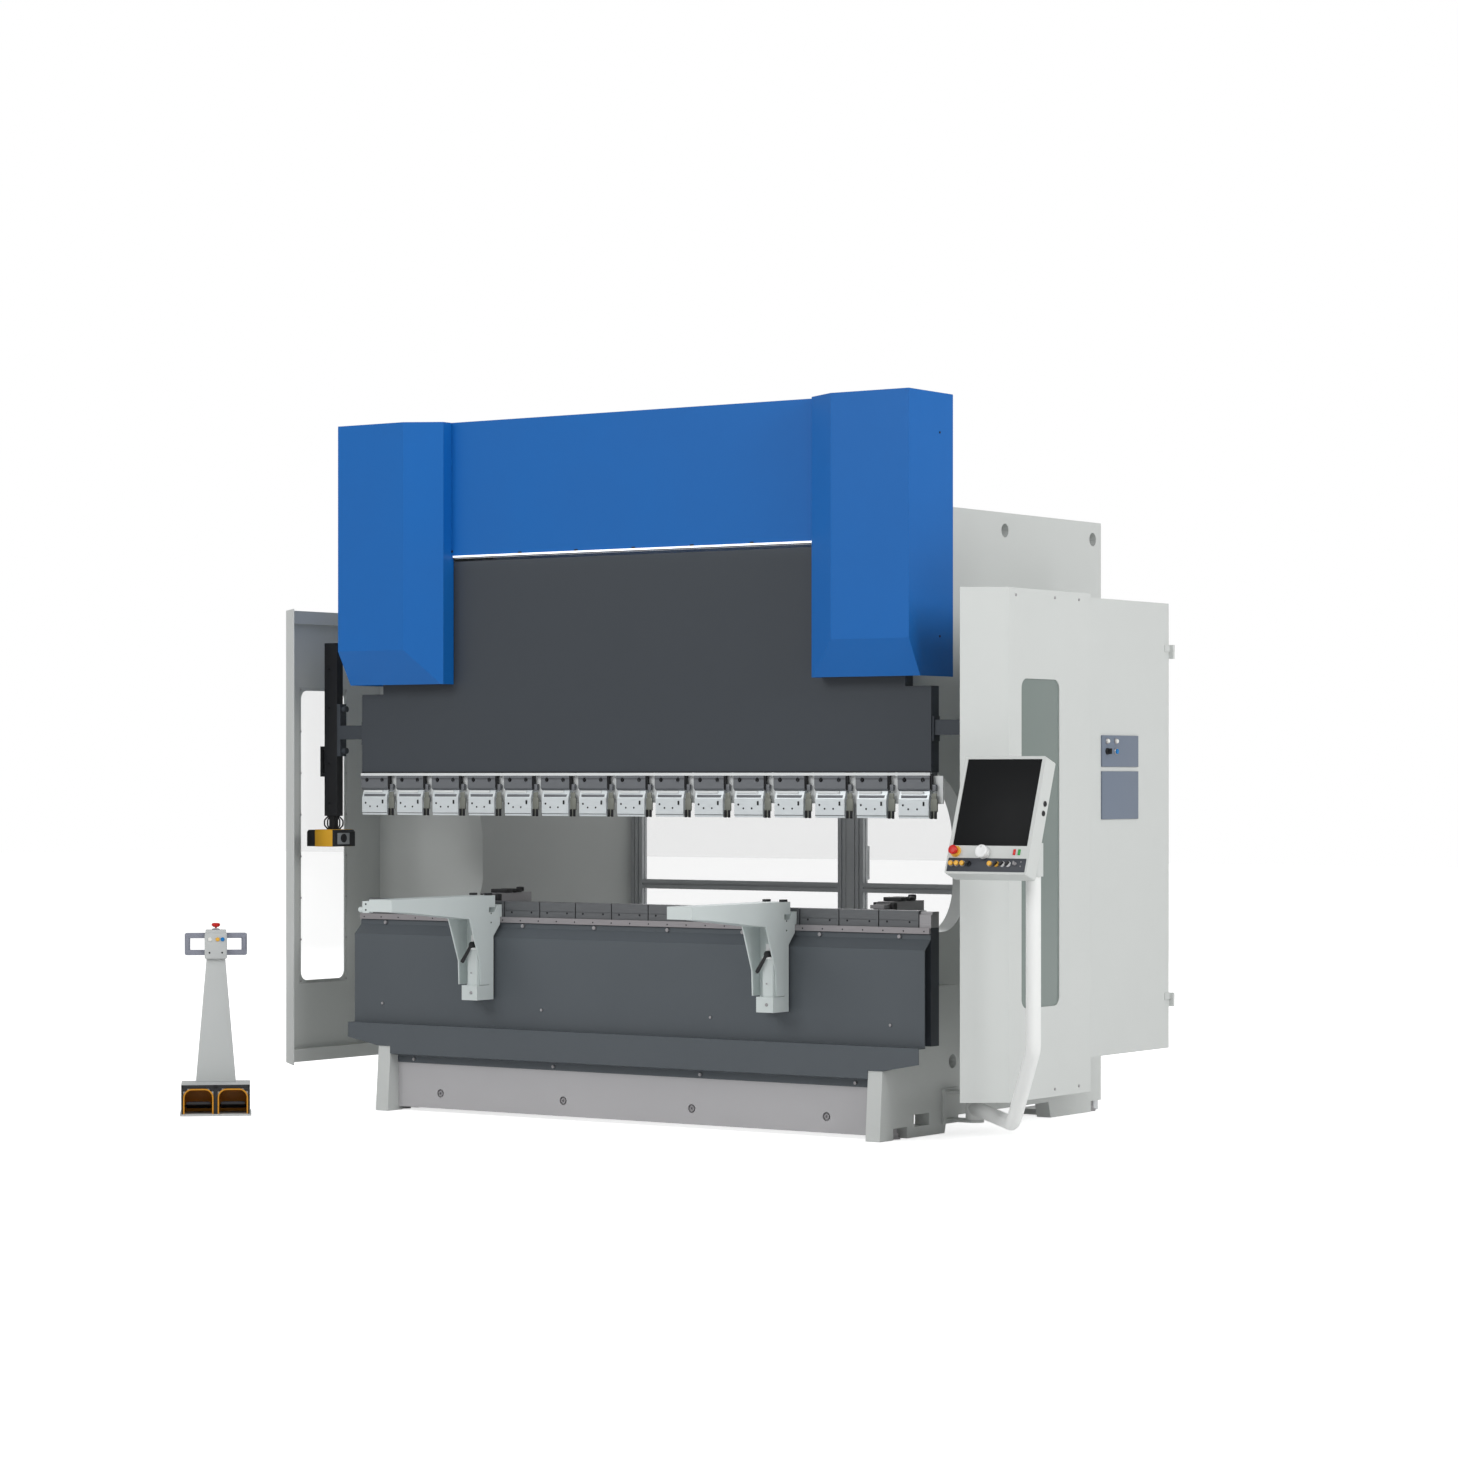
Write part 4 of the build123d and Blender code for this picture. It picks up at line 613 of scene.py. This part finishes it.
# Depths are counted from the bending plane, which lies this far from the frame's middle.
bend_plane = -0.835
bm = bmesh.new()
for z0, z1 in ((1.548, 1.680), (1.326, 1.528)):
    soft_block(bm, (face - 0.0065, bend_plane + 0.7245, z0 - 0.0005),
               (face + 0.0006, bend_plane + 1.0415, z1 + 0.0005), 1.2)
fitted(bm, "door_plates", "cabinet_door", slate_coat, "light_grey")
for name, y, z, material, slot, radius in (
        ("door_button_1", 0.766, 1.656, button_white, "white_plastic", 9),
        ("door_button_2", 0.842, 1.656, button_white, "white_plastic", 9),
        ("door_lamp", 0.842, 1.613, button_blue, "painted_blue", 11)):
    bm = bmesh.new()
    spot = (face + 0.0006, bend_plane + y, z)
    turned(bm, [(radius + 4, 0), (radius + 4, 3), (radius + 2, 5), (radius + 1, 5)], spot, (1, 0, 0), 28)
    fitted(bm, name + "_ring", "cabinet_door", ground_steel, "machined_steel")
    bm = bmesh.new()
    turned(bm, [(radius, 4), (radius, 9), (radius * 0.85, 11), (radius * 0.4, 11.6)], spot, (1, 0, 0), 28)
    fitted(bm, name, "cabinet_door", material, slot)
switch_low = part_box("cabinet_switch")[0]
bm = bmesh.new()
spot = (switch_low.x, bend_plane + 0.766, 1.613)
turned(bm, [(14, 0), (14, 7), (12, 10), (11, 10), (10, 8), (3, 8)], spot, (1, 0, 0), 32)
soft_block(bm, (spot[0] + 0.008, spot[1] - 0.0035, spot[2] - 0.012),
           (spot[0] + 0.024, spot[1] + 0.0035, spot[2] + 0.012), 1.5)
fitted(bm, "key_switch", "cabinet_switch", nylon, "black_plastic", "cabinet_switch")
bm = bmesh.new()
for z in (door_low.z + 0.25, (door_low.z + door_high.z) / 2, door_high.z - 0.25):
    turned(bm, [(13, 0), (13, 2), (11, 3.5), (10, 3.5)],
           (face - 0.006, door_low.y + 0.035, z), (1, 0, 0), 28)
    soft_block(bm, (face - 0.004, door_low.y + 0.030, z - 0.008),
               (face - 0.0005, door_low.y + 0.040, z + 0.008), 0.8)
fitted(bm, "door_locks", "cabinet_door", nylon, "black_plastic")

# ---------------------------------------------------------------- backgauge
# A welded carriage on two rails carries the lift beam, with two stop fingers on top. Their
# tips are ground steel with black clamping blocks.
carriage_paint = powder_coat("graphite enamel", "3E4247", "393D42", 0.42)
paint(carriage_paint, "gauge_carriage", "hydraulic_cylinders", "power_pack")
for side in ("left", "right"):
    low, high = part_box(f"gauge_finger_{side}")
    middle = (low.x + high.x) / 2
    bm = bmesh.new()
    soft_block(bm, (low.x + 0.008, low.y + 0.05, 0.9195), (high.x - 0.008, low.y + 0.078, 0.972), 3)
    for y in (low.y + 0.12, low.y + 0.19):
        soft_block(bm, (middle - 0.046, y, 0.9748), (middle + 0.046, y + 0.045, 0.992), 3)
    turned(bm, [(17, 0), (18, 3), (18, 16), (15, 20), (4, 22)],
           (middle, bend_plane + 0.520, 0.979), (0, 0, 1), 28)
    fitted(bm, f"finger_blocks_{side}", f"gauge_finger_{side}", nylon, "black_plastic")

# ---------------------------------------------------------------- rear fence and its doors
# Square aluminium profiles with a groove in each side, anodised in natural silver. Clear
# polycarbonate panes sit in the door profiles' grooves.
profile_metal = bare_steel("silver anodised profile", "DADCDE", "CDD0D2", 0.5, 3, 0.1)
paint(profile_metal, "fence_frame")


def profile_bar(bm, start, end, width, depth, groove=0.009):
    """A grooved profile between two points along x or z; its depth runs along y."""
    start, end = Vector(start), Vector(end)
    axis = (end - start).normalized()
    side = Vector((0, 1, 0))
    across = axis.cross(side)
    w, d, g, k = width / 2, depth / 2, groove / 2, 0.008
    outline = [(-w, -d), (-g, -d), (-g, -d + k), (g, -d + k), (g, -d), (w, -d),
               (w, -g), (w - k, -g), (w - k, g), (w, g), (w, d),
               (g, d), (g, d - k), (-g, d - k), (-g, d), (-w, d),
               (-w, g), (-w + k, g), (-w + k, -g), (-w, -g)]
    rings = [[bm.verts.new(foot + across * a + side * b) for a, b in outline] for foot in (start, end)]
    count = len(outline)
    for i in range(count):
        j = (i + 1) % count
        bm.faces.new((rings[0][i], rings[0][j], rings[1][j], rings[1][i]))
    bm.faces.new(rings[0])
    bm.faces.new(list(reversed(rings[1])))


for side, sign in (("left", -1), ("right", 1)):
    low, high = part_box(f"fence_door_{side}")
    y = low.y + 0.020
    x0, x1 = (0.026, 1.2585)
    z0, z1 = low.z, high.z
    bm = bmesh.new()
    half = 0.0225
    for x in (x0 + half, x1 - half):
        profile_bar(bm, (sign * x, y, z0), (sign * x, y, z1), 0.045, 0.040)
    for z in (z0 + half, 0.983, z1 - half):
        profile_bar(bm, (sign * (x0 + 0.045), y, z), (sign * (x1 - 0.045), y, z), 0.045, 0.040)
    for z in (0.336, 1.536):
        soft_block(bm, (min(sign * 1.2265, sign * 1.2645), 0.920, z - 0.012),
                   (max(sign * 1.2265, sign * 1.2645), 0.939, z + 0.012), 1)
    hx = sorted((sign * 0.034, sign * 0.062))
    soft_block(bm, (hx[0], 0.942, 1.020), (hx[1], 0.9535, 1.180), 4)
    for z in (1.026, 1.160):
        soft_block(bm, (hx[0], 0.918, z), (hx[1], 0.950, z + 0.014), 2)
    fitted(bm, f"door_profiles_{side}", f"fence_door_{side}", profile_metal,
           "profile_aluminium", f"fence_door_{side}")
    bm = bmesh.new()
    px = sorted((sign * (x0 + 0.043), sign * (x1 - 0.043)))
    for zz0, zz1 in ((z0 + 0.043, 0.963), (1.003, z1 - 0.043)):
        soft_block(bm, (px[0], y - 0.003, zz0), (px[1], y + 0.003, zz1), 0.8)
    fitted(bm, f"door_panes_{side}", f"fence_door_{side}", clear_pane, "tinted_pane")

# ---------------------------------------------------------------- pendant arm and console
# A bent steel tube, coated white, swings out from the right frame and carries the console: a
# folded case with a black glass screen, a control strip and a slate handle at its back.
tube_coat = powder_coat("white powder coat", "EEEFEE", "E6E8E6", 0.35)
paint(tube_coat, "pendant_arm")
joints = {joint["name"]: joint for joint in frame["joints"]}
out = Vector(joints["jog_wheel_turn"]["axis"])
up = Vector((0, out.z, -out.y))
wheel_spot = Vector(joints["jog_wheel_turn"]["pos_m"])
corner = wheel_spot + Vector((0.020, 0, 0)) - up * 0.088
face_of = Matrix(((1, 0, 0, corner.x), (0, -out.y, up.y, corner.y), (0, -out.z, up.z, corner.z),
                  (0, 0, 0, 1)))


def on_face(x, y, z):
    """A point on the console, in metres right, inward and up its face."""
    return face_of @ Vector((x, y, z))


screen_glass = bpy.data.materials.new("black screen glass")
screen_glass.use_nodes = True
tree = screen_glass.node_tree
surface = tree.nodes["Principled BSDF"]
place = add(tree, "ShaderNodeTexCoord").outputs["Object"]
smear = add(tree, "ShaderNodeTexNoise", {"Vector": place, "Scale": 1 / 0.09, "Detail": 3})
gloss = add(tree, "ShaderNodeMapRange", {"Value": smear.outputs["Fac"], "To Min": 0.3, "To Max": 0.42})
tree.links.new(gloss.outputs["Result"], surface.inputs["Roughness"])
surface.inputs["Base Color"].default_value = tone("1B1C1D")
surface.inputs["IOR"].default_value = 1.5
surface.inputs["Specular IOR Level"].default_value = 0.05
bm = bmesh.new()
soft_block(bm, (-0.169, 0.0008, 0.119), (0.169, 0.0045, 0.479), 1.2, face_of)
fitted(bm, "console_screen", "console", screen_glass, "black_plastic")
strip_coat = powder_coat("dark grey control strip", "3A3E46", "353940", 0.4)
bm = bmesh.new()
soft_block(bm, (-0.178, -0.0012, 0.010), (0.178, 0.002, 0.066), 0.8, face_of)
fitted(bm, "console_strip", "console", strip_coat, "black_plastic")
bm = bmesh.new()
soft_block(bm, (0.120, 0.079, 0.060), (0.172, 0.098, 0.200), 4, face_of)
soft_block(bm, (-0.172, 0.079, 0.060), (-0.120, 0.098, 0.200), 4, face_of)
fitted(bm, "console_handles", "console", slate_coat, "black_plastic")

signal_yellow = powder_coat("yellow button plastic", "EDB64A", "E6AC3C", 0.3)
signal_red = powder_coat("red button plastic", "D3231F", "C51C19", 0.3)
lamp_green = powder_coat("green lamp lens", "2E9C46", "25903D", 0.25)
for i, x in enumerate((-0.160, -0.134, -0.108, 0.018), 1):
    z = 0.042
    bm = bmesh.new()
    turned(bm, [(12.6, 0), (12.6, 2.6), (11.8, 4), (10.6, 4), (10.6, 0.3)], on_face(x, -0.001, z), out, 28)
    fitted(bm, f"button_ring_{i}", "console", ground_steel, "machined_steel")
    bm = bmesh.new()
    turned(bm, [(9.6, 5.6), (10, 6.2), (10, 12), (9, 14.2), (5, 15)], on_face(x, 0, z), out, 28)
    fitted(bm, f"button_{i}", f"console_button_{i}", signal_yellow, "yellow_plastic",
           f"console_button_{i}")
bm = bmesh.new()
turned(bm, [(23, 0), (23, 3), (21, 7), (19, 8), (13, 8)], on_face(-0.150, 0, 0.092), out, 32)
fitted(bm, "estop_base", "console", signal_yellow, "yellow_plastic")
bm = bmesh.new()
turned(bm, [(5, 0), (5, 8), (12, 8), (12, 19), (17, 20), (18.5, 24), (18.5, 30), (16, 33.5), (9, 35)],
       on_face(-0.150, 0, 0.092), out, 32)
fitted(bm, "estop_mushroom", "console_estop", signal_red, "red_plastic", "console_estop")

# The jog wheel is turned white plastic, with a finger dimple and fine ribs around its rim.
bm = bmesh.new()
spot = on_face(-0.020, 0, 0.088)
turned(bm, [(6, -1), (6, 1), (26, 1), (26.3, 3), (26.3, 26), (24.5, 29), (20, 30), (18, 29.4), (4, 29)],
       spot, out, 48)
fitted(bm, "jog_wheel_knob", "jog_wheel", white_cap, "white_plastic", "jog_wheel")
bm = bmesh.new()
soft_block(bm, (-0.022, -0.0307, 0.101), (-0.018, -0.0290, 0.109), 0.5, face_of)
for i in range(36):
    angle = i * math.pi / 18
    offset = Vector((0.0263 * math.cos(angle), 0, 0.0263 * math.sin(angle)))
    soft_block(bm, (-0.020 + offset.x - 0.0006, -0.024, 0.088 + offset.z - 0.0006),
               (-0.020 + offset.x + 0.0006, -0.005, 0.088 + offset.z + 0.0006), 0.2, face_of)
grip_grey = powder_coat("light grey wheel ribs", "C9CBCC", "BFC1C2", 0.4)
fitted(bm, "jog_wheel_ribs", "jog_wheel", grip_grey, "white_plastic")
for name, x, material, slot in (("lamp_red", 0.118, signal_red, "red_plastic"),
                                ("lamp_green", 0.140, lamp_green, "yellow_plastic")):
    bm = bmesh.new()
    soft_block(bm, (x - 0.0055, -0.004, 0.080), (x + 0.0055, 0.001, 0.104), 2.4, face_of)
    fitted(bm, name, "console", material, slot)

# Selectors: a round bezel with a raised grip bar, one black, one yellow and black, two white.
for name, x, material, slot in (("selector_black", -0.082, nylon, "black_plastic"),
                                ("selector_yellow", 0.046, signal_yellow, "yellow_plastic"),
                                ("selector_white_1", 0.073, white_cap, "white_plastic"),
                                ("selector_white_2", 0.100, white_cap, "white_plastic")):
    bm = bmesh.new()
    turned(bm, [(11.5, 0), (11.5, 4), (10.5, 6), (4, 6)], on_face(x, -0.001, 0.042), out, 28)
    fitted(bm, name, "console", material, slot)
    bm = bmesh.new()
    tilt = face_of @ Matrix.Translation((x, 0, 0.042)) @ Matrix.Rotation(math.radians(40), 4, "Y")
    soft_block(bm, (-0.0038, -0.019, -0.0105), (0.0038, -0.004, 0.0105), 1.4, tilt)
    fitted(bm, name + "_grip", "console", nylon, "black_plastic")
bm = bmesh.new()
turned(bm, [(7, 0), (7, 3), (5.5, 4), (2, 4)], on_face(0.130, -0.001, 0.044), out, 24)
soft_block(bm, (0.1285, -0.018, 0.037), (0.1315, -0.003, 0.051), 0.6, face_of)
turned(bm, [(2.5, 0), (2.5, 1.5), (1.2, 2)], on_face(0.156, -0.001, 0.034), out, 16)
turned(bm, [(2.5, 0), (2.5, 1.5), (1.2, 2)], on_face(0.156, -0.001, 0.052), out, 16)
fitted(bm, "console_key", "console", ground_steel, "machined_steel")
bm = bmesh.new()
for z in (0.270, 0.310):
    turned(bm, [(11, 0), (11, 3), (9, 4.5), (7, 4.5), (6, 2), (1, 1.8)],
           on_face(0.186, 0.050, z), (1, 0, 0), 28)
fitted(bm, "console_sockets", "console", nylon, "black_plastic")

# ---------------------------------------------------------------- pedal stand
# A tapered column of folded sheet on a steel pedal box. Two amber hoods line the pedal bays,
# and the head carries an emergency stop, three buttons and a slate-grey handle loop.
pedal_axis = Vector(joints["stand_pedal_left_press"]["axis"])
inward = Vector((-pedal_axis.y, pedal_axis.x, 0))
origin = Vector(joints["stand_pedal_left_press"]["pos_m"]) + pedal_axis * 0.076 - inward * 0.128
stand_of = Matrix(((pedal_axis.x, inward.x, 0, origin.x), (pedal_axis.y, inward.y, 0, origin.y),
                   (0, 0, 1, 0), (0, 0, 0, 1)))
stand_coat = powder_coat("stand grey powder coat", "C6C9C8", "C0C3C2", 0.42)
paint(stand_coat, "stand_base")
bm = bmesh.new()
soft_block(bm, (-0.089, 0.165, 0.140), (0.089, 0.215, 0.692), 2.5, stand_of, taper=0.47)
soft_block(bm, (-0.050, 0.145, 0.690), (0.050, 0.215, 0.806), 7, stand_of)
soft_block(bm, (-0.046, 0.150, 0.800), (0.046, 0.213, 0.820), 4, stand_of)
fitted(bm, "stand_body", "pedal_stand", stand_coat, "light_grey", "stand_column")
handle_coat = powder_coat("slate grey handle", "8F929E", "868995", 0.42)
bm = bmesh.new()
for z in (0.706, 0.782):
    soft_block(bm, (-0.138, 0.170, z), (0.138, 0.194, z + 0.024), 5, stand_of, round_y=10)
for x in (-0.126, 0.126):
    turned(bm, [(11, 0), (12.5, 3), (12.5, 92), (11, 95)],
           stand_of @ Vector((x, 0.182, 0.7085)), (0, 0, 1), 28)
fitted(bm, "stand_handle", "pedal_stand", handle_coat, "light_grey")
bm = bmesh.new()
for x in (-0.028, 0.028):
    socket_screw(bm, stand_of @ Vector((x, 0.145, 0.718)), -inward, 4, 2.5)
fitted(bm, "stand_screws", "pedal_stand", screw_black, "black_metal")
bm = bmesh.new()
turned(bm, [(17, 0), (17, 4), (14, 6), (9, 6), (9, 1)], stand_of @ Vector((0, 0.190, 0.819)), (0, 0, 1), 28)
fitted(bm, "stand_estop_base", "pedal_stand", handle_coat, "light_grey")
bm = bmesh.new()
turned(bm, [(5, 6.5), (5, 12), (13, 12), (13, 15), (18, 16), (19, 19), (19, 25), (16, 29), (8, 30)],
       stand_of @ Vector((0, 0.190, 0.820)), (0, 0, 1), 32)
fitted(bm, "stand_mushroom", "stand_estop", signal_red, "red_plastic", "stand_estop")
for name, x, material, slot in (("stand_button_white", -0.026, button_white, "white_plastic"),
                                ("stand_button_yellow", 0.008, signal_yellow, "yellow_plastic"),
                                ("stand_button_blue", 0.030, button_blue, "painted_blue")):
    bm = bmesh.new()
    turned(bm, [(9, 0), (9, 5), (8, 7), (4, 7.6)],
           stand_of @ Vector((x, 0.146, 0.778)), -inward, 24)
    fitted(bm, name, "pedal_stand", material, slot)

amber = powder_coat("amber hood plastic", "D8962A", "C98824", 0.4)


def arch(bm, half, height, radius, y0, y1, wall, z0=0.010):
    """A hood: an arched strip standing on its two ends, inside the given size."""
    def line(w, h, r):
        points = [(-w, z0), (-w, h - r)]
        points += [(-w + r - r * math.cos(a), h - r + r * math.sin(a))
                   for a in [i * math.pi / 20 for i in range(1, 11)]]
        points += [(w - r + r * math.sin(a), h - r + r * math.cos(a))
                   for a in [i * math.pi / 20 for i in range(0, 11)]]
        return points + [(w, z0)]
    outer = line(half, height, radius)
    inner = line(half - wall, height - wall, radius - wall)
    rows = []
    for y in (y0, y1):
        rows.append([[bm.verts.new(Vector((x, y, z))) for x, z in points] for points in (outer, inner)])
    for i in range(len(outer) - 1):
        for a, b in ((rows[0][0], rows[1][0]), (rows[1][1], rows[0][1]), (rows[0][1], rows[0][0]),
                     (rows[1][0], rows[1][1])):
            bm.faces.new((a[i], a[i + 1], b[i + 1], b[i]))
    for i in (0, len(outer) - 1):
        bm.faces.new((rows[0][0][i], rows[1][0][i], rows[1][1][i], rows[0][1][i]))


bm = bmesh.new()
for x in (-0.076, 0.076):
    hood = bmesh.new()
    arch(hood, 0.0668, 0.1218, 0.040, -0.008, 0.010, 0.0060)
    arch(hood, 0.0668, 0.1218, 0.040, 0.010, 0.149, 0.0030)
    bmesh.ops.recalc_face_normals(hood, faces=hood.faces)
    for vert in hood.verts:
        vert.co = stand_of @ (vert.co + Vector((x, 0, 0)))
    temporary = bpy.data.meshes.new("hood")
    hood.to_mesh(temporary)
    hood.free()
    bm.from_mesh(temporary)
    bpy.data.meshes.remove(temporary)
    soft_block(bm, (x - 0.064, 0.1465, 0.010), (x + 0.064, 0.1495, 0.119), 0.5, stand_of)
fitted(bm, "pedal_hoods", "pedal_stand", amber, "yellow_plastic")
bm = bmesh.new()
soft_block(bm, (-0.150, -0.0035, 0.009), (-0.1428, 0.001, 0.138), 0.6, stand_of)
soft_block(bm, (0.1428, -0.0035, 0.009), (0.150, 0.001, 0.138), 0.6, stand_of)
soft_block(bm, (-0.0092, -0.0035, 0.009), (0.0092, 0.001, 0.138), 0.6, stand_of)
soft_block(bm, (-0.150, -0.0035, 0.1222), (0.150, 0.001, 0.138), 0.6, stand_of)
for x in (-0.076, 0.076):
    for sign in (-1, 1):
        tab = x + sign * 0.058
        soft_block(bm, (tab - 0.009, -0.0035, 0.110), (tab + 0.009, 0.001, 0.123), 0.6, stand_of)
fitted(bm, "pedal_front", "pedal_stand", nylon, "black_plastic")
paint(nylon, "stand_pedal_left", "stand_pedal_right")
for side, x in (("left", -0.076), ("right", 0.076)):
    bm = bmesh.new()
    for i in range(7):
        y = 0.020 + i * 0.014
        z = 0.0615 - (y - 0.010) * 0.1429
        soft_block(bm, (x - 0.046, y, z - 0.002), (x + 0.046, y + 0.005, z + 0.0028), 0.8, stand_of)
    fitted(bm, f"pedal_ribs_{side}", f"stand_pedal_{side}", nylon, "black_plastic")
